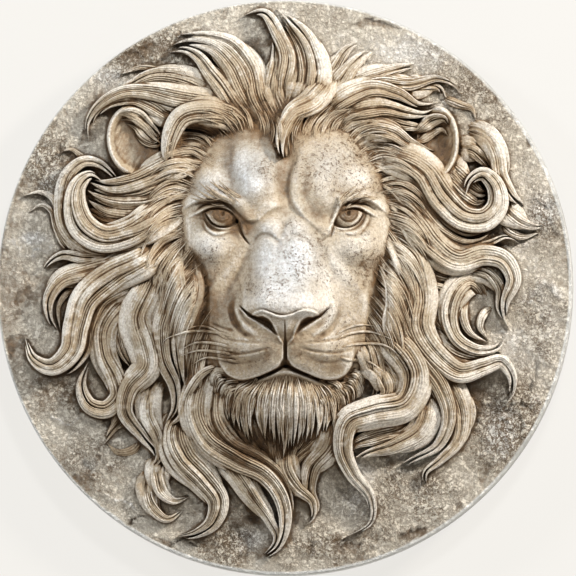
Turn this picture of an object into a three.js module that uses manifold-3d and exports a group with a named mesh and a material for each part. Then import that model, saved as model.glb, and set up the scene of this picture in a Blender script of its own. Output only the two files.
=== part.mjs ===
// A lion head roundel: a carved lion's face and mane on a round slab, made to be fixed flat to a wall.
// It is one piece. The back lies in the plane y = 0, the face looks along -Y and +Z is up.

import * as THREE from 'three';
import { mergeVertices } from 'three/addons/utils/BufferGeometryUtils.js';
import Module from 'manifold-3d';

const wasm = await Module();
wasm.setup();

// Driving dimensions, in millimetres. Rises are measured from the slab's flat front.
const DISC_DIAMETER = 400;
const SLAB_THICKNESS = 24;
const RIM_DRAFT = 2.2;
const RIM_CHAMFER = 1.2;
const MANE_RISE = 31;
const HEAD_RISE = 17;
const LAYER_RISE = 2.1;
const LOCK_CROWN = 0.30;
const LOCK_GROOVE = 1.8;
const TIP_RISE = 2.0;
const EAR_RISE = 15;
const EAR_HOLLOW = 9;
const EDGE_BURIED = 2.5;

const RIM_SIDES = 64;
const MOUND_RINGS = 6;
const MOUND_SECTORS = 30;
const EAR_SIDES = 14;
const PIECES_PER_SPAN = 1.25;

// The front view is set out on a grid of squares, counted in columns from the left and rows from the
// top, with the disc's back edge SQUARES_ACROSS squares wide.
const SQUARES_ACROSS = 573;
const SQUARE = DISC_DIAMETER / SQUARES_ACROSS;
const CENTRE_COLUMN = 283;
const CENTRE_ROW = 288;
const MIDDLE_OF_FACE = 286;

// The mound under the mane and the dome of the face: centre and half sizes in squares.
const MOUND = { column: 286, row: 285, halfWidth: 205, halfHeight: 232 };
const DOME = { column: 286, row: 262, halfWidth: 122, halfHeight: 165 };

// Rounded swellings of the face: column, row, half width and half height in squares, rise in mm.
const SWELLS = {
  leftForehead: [252, 168, 36, 36, 5.6],
  rightForehead: [322, 168, 38, 36, 5.6],
  leftBrow: [207, 180, 26, 22, 5.6],
  rightBrow: [364, 180, 26, 22, 4.2],
  leftInnerBrow: [259, 194, 26, 22, 5.6],
  rightInnerBrow: [319, 198, 26, 24, 5.6],
  leftSocket: [220, 217, 36, 21, -10.5],
  rightSocket: [351, 217, 36, 21, -10.5],
  muzzle: [286, 325, 84, 66, 16.5],
  leftPad: [246, 350, 42, 30, 8.5],
  rightPad: [326, 350, 42, 30, 8.5],
  leftCheekbone: [212, 248, 32, 24, 6.3],
  rightCheekbone: [361, 248, 32, 24, 6.3],
  nosePad: [286, 326, 18, 18, 5],
  chin: [286, 402, 60, 36, 7],
};

// Ridges and grooves of the face: rise in mm, reach to the left and to the right of the way the line
// runs in squares, then the line. A short reach on one side makes that side steep.
const FOLDS = {
  foreheadGroove: [-4, 13, 13, [[287, 138], [286, 185], [287, 206]]],
  leftBrowEdge: [7, 17, 5, [[181, 209], [208, 196], [238, 205]]],
  leftInnerBrowEdge: [5, 14, 5, [[236, 204], [257, 217], [285, 203]]],
  rightInnerBrowEdge: [5, 14, 5, [[297, 168], [293, 190], [304, 215], [328, 231]]],
  rightBrowEdge: [7, 17, 5, [[330, 213], [357, 195], [387, 207]]],
  leftNoseSide: [2, 10, 10, [[257, 243], [245, 268], [240, 302]]],
  rightNoseSide: [2, 10, 10, [[319, 243], [331, 268], [336, 302]]],
  leftFaceEdge: [-8, 6, 16, [[179, 200], [184, 244], [204, 290], [207, 345], [212, 385]]],
  rightFaceEdge: [-6, 16, 6, [[387, 200], [386, 252], [372, 300], [370, 345], [363, 382]]],
  leftCheekFold: [3, 12, 8, [[243, 250], [216, 284], [212, 330]]],
  rightCheekFold: [3, 8, 12, [[330, 250], [356, 282], [364, 330]]],
  noseRim: [4.2, 9, 4, [[239, 301], [257, 311], [286, 318], [315, 311], [335, 301]]],
  leftNostril: [-12, 6, 7, [[244, 305], [262, 319], [276, 338]]],
  rightNostril: [-12, 7, 6, [[330, 305], [311, 319], [297, 338]]],
  leftNoseWing: [4.2, 7, 8, [[239, 302], [244, 324], [262, 338]]],
  rightNoseWing: [4.2, 8, 7, [[335, 302], [330, 324], [312, 338]]],
  philtrum: [-8, 6, 6, [[286, 336], [286, 352], [286, 368]]],
  leftLip: [6.3, 15, 5, [[216, 352], [231, 377], [257, 374], [286, 362]]],
  rightLip: [6.3, 15, 5, [[286, 362], [318, 374], [344, 376], [358, 350]]],
  mouth: [-7, 5, 7, [[222, 372], [240, 383], [286, 368], [334, 383], [355, 366]]],
  lowerLip: [3.5, 6, 8, [[255, 386], [286, 376], [318, 386]]],
};

// The bridge of the nose broadens and rises downwards: rows, half widths in squares, rises in mm.
const BRIDGE = { rows: [212, 232, 262, 288, 303, 314], halfWidths: [26, 31, 40, 50, 53, 50], rises: [0, 8, 13, 17, 18, 8] };

// The face is meshed on these columns and rows, closer together at the eyes, nose and mouth.
const FACE_COLUMNS = spread([[172, 13], [238, 6], [334, 13], [400, 13]]);
const FACE_ROWS = spread([[128, 14], [194, 7.4], [238, 14], [296, 6], [390, 12], [420, 12]]);

// The locks of the mane: layer, broadest width and the line from root to tip, in squares. A higher
// layer stands further forward and lies over the lower ones.
const LOCKS = {
  crownHook: [5, 14, [[284, 116], [282, 86], [287, 58], [279, 36], [264, 12], [242, 14]]],
  crownInnerHook: [4, 12, [[281, 120], [271, 90], [274, 62], [273, 40], [257, 31]]],
  crownMiddle: [4, 15, [[286, 114], [298, 60], [280, 18]]],
  crownWide: [3, 26, [[290, 116], [309, 94], [315, 68], [308, 42], [276, 7]]],
  forelock: [7, 16, [[322, 56], [328, 80], [314, 99], [292, 113], [282, 132], [287, 169]]],
  sweepTop1: [3, 18, [[276, 130], [257, 96], [249, 66], [232, 43], [205, 34], [177, 33]]],
  sweepTop2: [4, 20, [[264, 124], [243, 92], [230, 64], [212, 46], [166, 46]]],
  sweepTop3: [5, 17, [[256, 128], [228, 98], [198, 56], [164, 51]]],
  sweepWisp: [1, 8, [[182, 72], [140, 66], [118, 73]]],
  sweepLeft1: [3, 15, [[238, 112], [208, 88], [180, 75], [152, 74], [96, 102]]],
  sweepLeft2: [5, 17, [[248, 120], [180, 97], [122, 91], [98, 104], [86, 122], [87, 141]]],
  sweepLeft3: [4, 13, [[196, 118], [150, 106], [112, 101], [90, 130]]],
  templeCurl: [8, 19, [[247, 136], [230, 117], [205, 110], [182, 116], [170, 135], [175, 174]]],
  westGreatCurl: [7, 26, [[186, 202], [132, 232], [103, 238], [80, 225], [72, 202], [88, 174], [103, 182]]],
  westOuterCurl: [4, 15, [[186, 214], [118, 249], [86, 246], [66, 228], [61, 200], [84, 161], [113, 180]]],
  curlInner1: [5, 17, [[212, 160], [160, 168], [136, 180], [106, 186]]],
  curlInner2: [3, 15, [[196, 178], [140, 194], [90, 190]]],
  curlInner3: [2, 15, [[186, 192], [135, 208], [86, 198]]],
  leftFlickLow: [2, 10, [[90, 252], [66, 246], [50, 210], [27, 211]]],
  leftFlickHigh: [3, 10, [[82, 246], [65, 232], [50, 196], [21, 195]]],
  leftSmallHook: [1, 9, [[88, 160], [59, 151]]],
  westBand1: [4, 15, [[166, 224], [115, 256], [60, 255], [40, 279]]],
  westBand2: [5, 18, [[152, 254], [120, 264], [60, 280], [48, 318], [60, 337]]],
  westLongHook: [7, 25, [[170, 228], [146, 256], [85, 298], [70, 350], [50, 366], [32, 358], [23, 336]]],
  westLoop: [4, 17, [[148, 284], [103, 328], [104, 354], [117, 396], [104, 409], [80, 386], [88, 360]]],
  cheekSLock: [6, 20, [[162, 256], [135, 318], [146, 366], [124, 412], [155, 456], [146, 473], [127, 480]]],
  cheekLock2: [5, 19, [[176, 232], [170, 300], [163, 360], [174, 408], [160, 431]]],
  cheekLock3: [4, 17, [[184, 254], [190, 288], [177, 345], [186, 398]]],
  cheekInnerStrand: [5, 14, [[164, 368], [149, 392], [157, 438], [142, 476]]],
  jawStrandLeft: [6, 10, [[226, 365], [204, 372], [188, 394], [161, 431]]],
  lowerFork1: [4, 14, [[161, 448], [156, 474], [173, 501], [188, 497]]],
  lowerFork2: [3, 12, [[155, 464], [146, 488], [166, 519], [184, 509]]],
  lowerSmallTip: [1, 9, [[124, 418], [101, 445]]],
  lowerSmallArc: [1, 9, [[134, 440], [111, 446]]],
  jawLongLeft: [6, 25, [[212, 388], [203, 418], [214, 446], [268, 478], [285, 502], [287, 530], [274, 552], [246, 565]]],
  lowerGreatS: [5, 26, [[186, 404], [174, 432], [182, 458], [217, 502], [196, 534], [174, 538]]],
  underBeardLeft: [2, 15, [[220, 404], [228, 430], [272, 464], [284, 492]]],
  tailCentre: [4, 13, [[288, 446], [288, 470], [312, 502], [299, 528]]],
  tailRight: [3, 20, [[336, 420], [311, 468], [316, 508], [308, 524]]],
  jawGreatWave: [7, 24, [[364, 322], [396, 342], [416, 374], [406, 404], [348, 422], [342, 448], [370, 498], [341, 540]]],
  jawInnerWave: [5, 22, [[358, 352], [390, 392], [350, 416]]],
  jawWaveRoot: [4, 15, [[350, 374], [374, 394], [366, 408]]],
  waveHollow: [3, 18, [[422, 404], [376, 436], [350, 466]]],
  eastLowerWave: [6, 20, [[384, 250], [402, 304], [400, 328], [440, 386], [449, 418], [438, 446], [384, 475]]],
  eastLowerInner: [4, 19, [[414, 372], [429, 402], [394, 446], [346, 466]]],
  eastLowerOuter: [4, 14, [[432, 352], [461, 412], [440, 460], [425, 474], [441, 494]]],
  eastLowerEdge: [2, 10, [[450, 380], [472, 412], [457, 447]]],
  eastWave: [6, 20, [[388, 224], [412, 258], [419, 328], [436, 356], [460, 373], [501, 361], [512, 376], [501, 409]]],
  eastWaveUpper: [4, 13, [[418, 316], [458, 356], [499, 353], [512, 368]]],
  eastFill1: [2, 18, [[424, 272], [429, 300], [456, 338]]],
  eastFill2: [2, 16, [[412, 252], [430, 268], [472, 272]]],
  shellOuter: [5, 14, [[484, 308], [482, 290], [470, 281], [449, 315], [457, 338], [498, 346], [505, 331]]],
  shellInner: [4, 10, [[478, 296], [463, 314], [488, 342]]],
  eastLongS: [7, 20, [[382, 206], [410, 218], [458, 261], [504, 260], [514, 279], [506, 302], [511, 331]]],
  eastLongSInner: [4, 12, [[442, 262], [488, 273], [500, 289], [508, 326]]],
  eastHookBand: [4, 12, [[378, 190], [412, 208], [462, 249], [506, 236], [524, 252]]],
  eastUnderCurl: [5, 18, [[372, 170], [402, 184], [446, 228], [468, 238], [503, 212]]],
  eastGreatCurl: [7, 19, [[364, 152], [398, 158], [424, 172], [442, 198], [464, 218], [486, 219], [500, 204], [482, 171], [463, 193]]],
  eastOuterLock: [5, 15, [[452, 130], [487, 138], [501, 178], [524, 208]]],
  eastOuterFlick: [3, 13, [[499, 192], [522, 222], [550, 221]]],
  behindEarRight: [3, 13, [[452, 148], [493, 174]]],
  rightSweepTop: [3, 15, [[328, 114], [380, 82], [438, 77], [463, 96]]],
  rightSweep1: [5, 17, [[314, 126], [340, 102], [372, 88], [418, 104], [441, 97]]],
  rightSweep2: [6, 16, [[326, 130], [380, 107], [425, 113], [440, 98]]],
  rightSweep3: [4, 13, [[340, 132], [385, 118], [442, 119]]],
  rightSweepLow: [6, 16, [[346, 142], [370, 129], [410, 143], [439, 152]]],
  rightBack1: [2, 20, [[320, 106], [338, 82], [378, 44]]],
  rightBack2: [2, 17, [[334, 102], [380, 72], [426, 62]]],
  rightBack3: [2, 14, [[330, 96], [334, 70], [364, 38]]],
  rightBackTip: [1, 10, [[436, 92], [476, 119]]],
  leftEarTuft1: [5, 9, [[122, 118], [140, 124], [158, 138]]],
  leftEarTuft2: [4, 9, [[118, 140], [142, 141], [160, 131]]],
  rightEarTuft: [4, 9, [[428, 128], [444, 122], [452, 132]]],
};

// The eyes: column, row and half size of the ball, then how far it stands out of its socket in mm.
const EYES = { left: [222, 216, 17, 5.5], right: [349, 216, 17, 5.5] };

// The eyelids: rise in mm over the face, width in squares and the line along the lid.
const LIDS = {
  leftUpper: [4.6, 9, [[190, 217], [204, 208], [219, 205], [233, 210], [245, 228]]],
  leftLower: [2.8, 8, [[201, 217], [213, 228], [228, 230], [245, 227]]],
  rightUpper: [4.6, 9, [[329, 230], [338, 213], [353, 206], [367, 208], [381, 217]]],
  rightLower: [2.8, 8, [[331, 229], [345, 232], [360, 229], [371, 217]]],
};

// Fans of short locks: layer, width, how many, then the first and last root and the first and last tip.
const FANS = {
  leftTemple: [3, 20, 3, [228, 134], [188, 204], [174, 128], [166, 222]],
  rightTemple: [3, 20, 3, [350, 138], [384, 204], [404, 148], [410, 226]],
  forehead: [4, 15, 2, [286, 152], [310, 138], [298, 112], [340, 100]],
};

// The beard hangs from the chin as a fan whose tips follow a rounded hem.
const BEARD = { locks: 9, layer: 2.5, width: 26, rootRow: 380, hemRow: 455, sideLift: 44, rootHalf: 62, hemHalf: 70 };

// The ears: column, row, half width and half height in squares, tilt in degrees.
const EARS = { left: [132, 140, 26, 35, -10], right: [443, 138, 21, 33, 4] };

const STONE = new THREE.MeshStandardMaterial({ color: 0xc8beaa, roughness: 0.85, metalness: 0 });

// Grid lines between the stops, each stop with the step that follows it.
function spread(stops) {
  const lines = [];
  for (let i = 0; i < stops.length - 1; i += 1) {
    const [start, step] = stops[i];
    const end = stops[i + 1][0];
    const count = Math.round((end - start) / step);
    for (let k = 0; k < count; k += 1) {
      lines.push(start + (end - start) * k / count);
    }
  }
  lines.push(stops[stops.length - 1][0]);
  return lines;
}

function mix(a, b, share) {
  return a + (b - a) * share;
}

// Rises smoothly from 0 to 1 between two values.
function ease(from, to, value) {
  const t = THREE.MathUtils.clamp((value - from) / (to - from), 0, 1);
  return t * t * (3 - 2 * t);
}

// A bell that is 1 at the middle and 0 from a distance of 1 outwards.
function bell(distance) {
  const t = Math.min(distance, 1);
  return 0.5 + 0.5 * Math.cos(Math.PI * t);
}

function distanceIn(shape, column, row) {
  return Math.hypot((column - shape.column) / shape.halfWidth, (row - shape.row) / shape.halfHeight);
}

// Grid positions along a smooth course through the given points, closer together where those are.
function courseThrough(line, pieces) {
  const points = line.map(([column, row]) => new THREE.Vector3(column, row, 0));
  return new THREE.CatmullRomCurve3(points, false, 'centripetal').getPoints(pieces);
}

// The mound that carries the mane: full under the face, falling to nothing at its own edge.
function moundRise(column, row) {
  return MANE_RISE * (1 - ease(0.33, 1, distanceIn(MOUND, column, row)));
}

function swellRise([middleColumn, middleRow, halfWidth, halfHeight, rise], column, row) {
  const distance = Math.hypot((column - middleColumn) / halfWidth, (row - middleRow) / halfHeight);
  return rise * Math.max(0, 1 - distance ** 2) ** 2;
}

const FOLD_COURSES = Object.values(FOLDS).map(([rise, leftReach, rightReach, line]) => {
  return { rise, leftReach, rightReach, course: courseThrough(line, 10) };
});

// The rise of a ridge or groove at a place: from its nearest stretch, the side of it and how far along.
function foldRise({ rise, leftReach, rightReach, course }, column, row) {
  let nearest = Infinity;
  let side = 0;
  let along = 0;
  for (let i = 0; i < course.length - 1; i += 1) {
    const start = course[i];
    const run = course[i + 1].clone().sub(start);
    const offset = new THREE.Vector3(column, row, 0).sub(start);
    const share = THREE.MathUtils.clamp(offset.dot(run) / run.lengthSq(), 0, 1);
    offset.addScaledVector(run, -share);
    if (offset.length() < nearest) {
      nearest = offset.length();
      side = Math.sign(run.x * offset.y - run.y * offset.x);
      along = (i + share) / (course.length - 1);
    }
  }
  const ends = Math.min(1, 0.35 + Math.sin(Math.PI * along));
  return rise * ends * bell(nearest / (side > 0 ? rightReach : leftReach));
}

// The bridge of the nose, flat along its middle with rounded shoulders.
function bridgeRise(column, row) {
  const { rows, halfWidths, rises } = BRIDGE;
  if (row < rows[0] || row > rows[rows.length - 1]) {
    return 0;
  }
  const i = Math.max(0, rows.findIndex((stop) => stop >= row) - 1);
  const share = (row - rows[i]) / (rows[i + 1] - rows[i]);
  const across = Math.abs(column - MIDDLE_OF_FACE) / mix(halfWidths[i], halfWidths[i + 1], share);
  return mix(rises[i], rises[i + 1], share) * bell(Math.max(0, (across - 0.25) / 0.75));
}

// The whole face above the slab. Outside the dome it sinks just below the mound that it grows from.
function faceRise(column, row) {
  const distance = distanceIn(DOME, column, row);
  const dome = HEAD_RISE * Math.max(0, 1 - distance ** 2) ** 0.75;
  let rise = moundRise(column, row) + dome + bridgeRise(column, row);
  for (const swell of Object.values(SWELLS)) {
    rise += swellRise(swell, column, row);
  }
  for (const fold of FOLD_COURSES) {
    rise += foldRise(fold, column, row);
  }
  return rise - EDGE_BURIED * ease(0.7, 1, distance);
}

// A grid position and its rise over the slab, as a point in space.
function placed(column, row, rise) {
  return [
    (column - CENTRE_COLUMN) * SQUARE,
    -(SLAB_THICKNESS + rise),
    (CENTRE_ROW - row) * SQUARE,
  ];
}

// The buried side of every form that stands on the slab lies halfway into it.
const BURIED = -SLAB_THICKNESS / 2;

// A closed mesh as a solid for joining, turned outwards if its faces point in.
function solidFrom(points, triangles) {
  const geometry = new THREE.BufferGeometry();
  geometry.setAttribute('position', new THREE.Float32BufferAttribute(points.flat(), 3));
  geometry.setIndex(triangles.flat());
  return solidOf(geometry);
}

function solidOf(geometry) {
  const bare = geometry.clone();
  bare.deleteAttribute('normal');
  bare.deleteAttribute('uv');
  const merged = mergeVertices(bare, 1e-4);
  const vertProperties = merged.attributes.position.array;
  const corners = merged.index.array;
  const kept = [];
  let volume = 0;
  for (let i = 0; i < corners.length; i += 3) {
    const [a, b, c] = corners.slice(i, i + 3);
    if (a !== b && b !== c && c !== a) {
      kept.push(a, b, c);
      const [p, q, r] = [a, b, c].map((n) => new THREE.Vector3().fromArray(vertProperties, 3 * n));
      volume += p.dot(q.cross(r)) / 6;
    }
  }
  if (volume < 0) {
    kept.reverse();
  }
  const triVerts = new Uint32Array(kept);
  return new wasm.Manifold(new wasm.Mesh({ numProp: 3, vertProperties, triVerts }));
}

// A closed skin over rings of equal length, closed by a fan at each end.
function skinOver(rings) {
  const count = rings[0].length;
  const points = rings.flat();
  const triangles = [];
  for (let i = 0; i < rings.length - 1; i += 1) {
    for (let k = 0; k < count; k += 1) {
      const a = i * count + k;
      const b = i * count + (k + 1) % count;
      triangles.push([a, b, b + count], [a, b + count, a + count]);
    }
  }
  for (let k = 1; k < count - 1; k += 1) {
    const last = (rings.length - 1) * count;
    triangles.push([0, k + 1, k], [last, last + k, last + k + 1]);
  }
  return solidFrom(points, triangles);
}

// A section whose sides run straight down from its edges into the slab, so that it hides no hollow.
function sectionOnGround(leftEdge, top, rightEdge) {
  const underLeft = [leftEdge[0], BURIED, leftEdge[2]];
  const underRight = [rightEdge[0], BURIED, rightEdge[2]];
  return [leftEdge, ...top, rightEdge, underRight, underLeft];
}

function slab() {
  const backRadius = DISC_DIAMETER / 2;
  const frontRadius = backRadius - RIM_DRAFT;
  const profile = [
    new THREE.Vector2(0, 0),
    new THREE.Vector2(backRadius, 0),
    new THREE.Vector2(frontRadius, -(SLAB_THICKNESS - RIM_CHAMFER)),
    new THREE.Vector2(frontRadius - RIM_CHAMFER, -SLAB_THICKNESS),
    new THREE.Vector2(0, -SLAB_THICKNESS),
  ];
  return solidOf(new THREE.LatheGeometry(profile, RIM_SIDES));
}

// The mound, in rings from its middle to its edge, lowered under the face so that the face stands clear.
function mound() {
  const lowered = 0.45 * MANE_RISE;
  const rings = [];
  for (let i = MOUND_RINGS; i >= 0; i -= 1) {
    const reach = Math.max(0.02, i / MOUND_RINGS);
    const ring = [];
    for (let k = 0; k < MOUND_SECTORS; k += 1) {
      const turn = 2 * Math.PI * k / MOUND_SECTORS;
      const column = MOUND.column + MOUND.halfWidth * reach * Math.cos(turn);
      const row = MOUND.row + MOUND.halfHeight * reach * Math.sin(turn);
      const underFace = lowered * (1 - ease(0.25, 0.5, reach));
      ring.push(placed(column, row, moundRise(column, row) - underFace));
    }
    rings.push(ring);
  }
  const buriedRing = rings[0].map(([x, , z]) => [x, BURIED, z]);
  return skinOver([buriedRing, ...rings]);
}

// The face as a closed block: its carved front on the grid lines, its back buried in the slab.
function face() {
  const points = [];
  const triangles = [];
  const across = FACE_COLUMNS.length;
  const down = FACE_ROWS.length;
  for (const row of FACE_ROWS) {
    for (const column of FACE_COLUMNS) {
      points.push(placed(column, row, faceRise(column, row)));
    }
  }
  for (let j = 0; j < down - 1; j += 1) {
    for (let i = 0; i < across - 1; i += 1) {
      const a = j * across + i;
      triangles.push([a, a + across, a + 1], [a + 1, a + across, a + across + 1]);
    }
  }
  const lastColumn = across - 1;
  const lastRow = down - 1;
  const border = [
    ...Array.from({ length: lastColumn }, (_, i) => i),
    ...Array.from({ length: lastRow }, (_, j) => j * across + lastColumn),
    ...Array.from({ length: lastColumn }, (_, i) => lastRow * across + lastColumn - i),
    ...Array.from({ length: lastRow }, (_, j) => (lastRow - j) * across),
  ];
  const firstBuried = points.length;
  for (const corner of border) {
    const [x, , z] = points[corner];
    points.push([x, BURIED, z]);
  }
  const middle = points.length;
  points.push([0, BURIED, 0]);
  border.forEach((corner, k) => {
    const next = (k + 1) % border.length;
    triangles.push([corner, border[next], firstBuried + k]);
    triangles.push([border[next], firstBuried + next, firstBuried + k]);
    triangles.push([middle, firstBuried + k, firstBuried + next]);
  });
  return solidFrom(points, triangles);
}

// A lock of hair swept along its course over the ground that carries it. Its edges and underside are
// buried, and a broad lock has a groove between two crests.
function lock(layer, width, line, ground = moundRise) {
  const pieces = Math.round(PIECES_PER_SPAN * (line.length - 1));
  const course = courseThrough(line, pieces);
  const rings = course.map((point, i) => {
    const along = i / pieces;
    const before = course[Math.max(0, i - 1)];
    const after = course[Math.min(pieces, i + 1)];
    const way = after.clone().sub(before).normalize();
    const half = 0.5 * width * Math.min(1, 0.7 + 1.2 * along) * Math.max(0.12, 1 - along ** 3) ** 0.8;
    const crown = LAYER_RISE * layer + LOCK_CROWN * width * SQUARE;
    const rise = mix(crown * Math.min(1, 0.6 + 1.6 * along), TIP_RISE, along ** 4);
    const at = (share, lift) => {
      const column = point.x - way.y * half * share;
      const row = point.y + way.x * half * share;
      return placed(column, row, ground(column, row) + lift);
    };
    const groove = Math.min(LOCK_GROOVE, 0.3 * rise) * (width > 23 ? 1 : 0);
    const top = width > 23
      ? [at(-0.45, rise), at(0.05, rise - groove), at(0.5, 0.85 * rise)]
      : [at(0, rise)];
    return sectionOnGround(at(-1, -EDGE_BURIED), top, at(1, -EDGE_BURIED));
  });
  return skinOver(rings);
}

function fan(layer, width, count, firstRoot, lastRoot, firstTip, lastTip) {
  const locks = [];
  for (let i = 0; i < count; i += 1) {
    const share = count > 1 ? i / (count - 1) : 0;
    const root = [mix(firstRoot[0], lastRoot[0], share), mix(firstRoot[1], lastRoot[1], share)];
    const tip = [mix(firstTip[0], lastTip[0], share), mix(firstTip[1], lastTip[1], share)];
    const middle = [mix(root[0], tip[0], 0.5), mix(root[1], tip[1], 0.5) - 5];
    locks.push(lock(layer, width, [root, middle, tip]));
  }
  return locks;
}

function beard() {
  const { locks, layer, width, rootRow, hemRow, sideLift, rootHalf, hemHalf } = BEARD;
  const strands = [];
  for (let i = 0; i < locks; i += 1) {
    const across = 2 * i / (locks - 1) - 1;
    const root = [MIDDLE_OF_FACE + rootHalf * across, rootRow - 6 * across ** 2];
    const tip = [MIDDLE_OF_FACE + hemHalf * across, hemRow - sideLift * Math.abs(across) ** 1.7];
    const middle = [mix(root[0], tip[0], 0.4), mix(root[1], tip[1], 0.5)];
    strands.push(lock(layer, width, [root, middle, tip], faceRise));
  }
  return strands;
}

// An ear as a shallow cup with a rounded rim, standing on the mound.
function ear([column, row, halfWidth, halfHeight, tilt]) {
  const profile = [
    new THREE.Vector2(0, BURIED),
    new THREE.Vector2(1, BURIED),
    new THREE.Vector2(1, 0.45 * EAR_RISE),
    new THREE.Vector2(0.84, EAR_RISE),
    new THREE.Vector2(0.62, EAR_RISE - 0.3 * EAR_HOLLOW),
    new THREE.Vector2(0.4, EAR_RISE - EAR_HOLLOW),
    new THREE.Vector2(0, EAR_RISE - EAR_HOLLOW),
  ];
  const geometry = new THREE.LatheGeometry(profile, EAR_SIDES);
  const [x, y, z] = placed(column, row, moundRise(column, row));
  geometry.scale(halfWidth * SQUARE, -1, halfHeight * SQUARE);
  geometry.rotateY(THREE.MathUtils.degToRad(tilt));
  geometry.translate(x, y, z);
  return solidOf(geometry);
}

// The ball of an eye, flattened a little, set in its socket.
function eye([column, row, half, stand]) {
  const ball = new THREE.SphereGeometry(1, 10, 6);
  const radius = half * SQUARE;
  const [x, y, z] = placed(column, row, faceRise(column, row));
  ball.scale(radius, 0.8 * radius, radius);
  ball.translate(x, y + 0.8 * radius - stand, z);
  return solidOf(ball);
}

// An eyelid: a rounded strip along its line, standing on the face.
function lid([rise, width, line]) {
  const course = courseThrough(line, 6);
  const rings = course.map((point, i) => {
    const before = course[Math.max(0, i - 1)];
    const after = course[Math.min(course.length - 1, i + 1)];
    const way = after.clone().sub(before).normalize();
    const half = 0.5 * width * mix(0.5, 1, Math.sin(Math.PI * i / (course.length - 1)));
    const at = (share, lift) => {
      const column = point.x - way.y * half * share;
      const row = point.y + way.x * half * share;
      return placed(column, row, faceRise(column, row) + lift);
    };
    const top = [at(-0.3, rise), at(0.4, rise)];
    return sectionOnGround(at(-1, -EDGE_BURIED), top, at(1, -EDGE_BURIED));
  });
  return skinOver(rings);
}

// The forms joined into one body. A sliver of air sealed between two of them is filled.
function joined(solids) {
  const bodies = solids.reduce((whole, solid) => whole.add(solid)).decompose();
  return bodies.reduce((largest, body) => (body.volume() > largest.volume() ? body : largest));
}

function meshOf(name, solid, material) {
  const { vertProperties, triVerts } = solid.getMesh();
  const geometry = new THREE.BufferGeometry();
  geometry.setAttribute('position', new THREE.Float32BufferAttribute(vertProperties, 3));
  geometry.setIndex(new THREE.Uint32BufferAttribute(triVerts, 1));
  geometry.computeVertexNormals();
  const mesh = new THREE.Mesh(geometry, material);
  mesh.name = name;
  return mesh;
}

const roundel = joined([
  slab(),
  mound(),
  face(),
  ...Object.values(EYES).map(eye),
  ...Object.values(LIDS).map(lid),
  ...Object.values(EARS).map(ear),
  ...Object.values(LOCKS).map(([layer, width, line]) => lock(layer, width, line)),
  ...Object.values(FANS).flatMap((row) => fan(...row)),
  ...beard(),
]);

const group = new THREE.Group();
group.add(meshOf('lion_head_roundel', roundel, STONE));

export default group;
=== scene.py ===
"""A lion head roundel in old cream stone: carved face, flowing mane and round slab, dressed and lit.

The front view is set out on a grid of squares, columns counted from the left and rows from the top, with
the disc's back edge SQUARES_ACROSS squares wide. Rises are in millimetres above the slab's flat front.
The work is done with numpy on whole arrays, and only the finished points are turned into metres.
"""
import math

import bpy
import numpy as np
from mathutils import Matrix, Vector


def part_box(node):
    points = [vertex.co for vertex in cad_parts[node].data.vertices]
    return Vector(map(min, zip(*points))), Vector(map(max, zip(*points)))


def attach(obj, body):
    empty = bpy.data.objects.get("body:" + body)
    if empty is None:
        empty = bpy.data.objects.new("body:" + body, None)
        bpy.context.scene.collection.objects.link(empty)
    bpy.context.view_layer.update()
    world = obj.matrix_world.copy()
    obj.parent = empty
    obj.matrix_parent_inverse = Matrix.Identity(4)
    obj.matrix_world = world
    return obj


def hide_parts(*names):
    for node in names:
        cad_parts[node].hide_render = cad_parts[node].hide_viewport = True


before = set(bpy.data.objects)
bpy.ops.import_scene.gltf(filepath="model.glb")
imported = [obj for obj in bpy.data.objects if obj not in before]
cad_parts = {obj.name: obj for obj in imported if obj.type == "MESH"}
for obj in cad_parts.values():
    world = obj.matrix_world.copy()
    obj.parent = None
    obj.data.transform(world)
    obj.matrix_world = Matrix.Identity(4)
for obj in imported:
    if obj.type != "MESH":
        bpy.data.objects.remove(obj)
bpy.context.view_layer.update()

NODE = "lion_head_roundel"
BODY = "root"

low_corner, high_corner = (np.array(corner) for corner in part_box(NODE))
DISC_DIAMETER = float(high_corner[0] - low_corner[0])
SQUARES_ACROSS = 580
SQUARE = DISC_DIAMETER / SQUARES_ACROSS
CENTRE_COLUMN = 284
CENTRE_ROW = 287
MIDDLE_OF_FACE = 286
MM = 0.001

# Sizes in millimetres: the slab and its rim, how high the mound, the head, one layer of locks and a lock's
# tip stand, and how far down the walls of the pieces reach. A lock's crown is a share of its width.
SLAB_THICKNESS = 24
RIM_DRAFT = 1.2
RIM_CHAMFER = 0.6
MANE_RISE = 31
HEAD_RISE = 17
LAYER_RISE = 2.1
LOCK_CROWN = 0.36
TIP_RISE = 2.0
BURIED = -9.0

# The mound under the mane and the dome of the face: centre column and row, half width and half height.
MOUND = (286, 285, 205, 232)
DOME = (286, 262, 122, 165)

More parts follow.
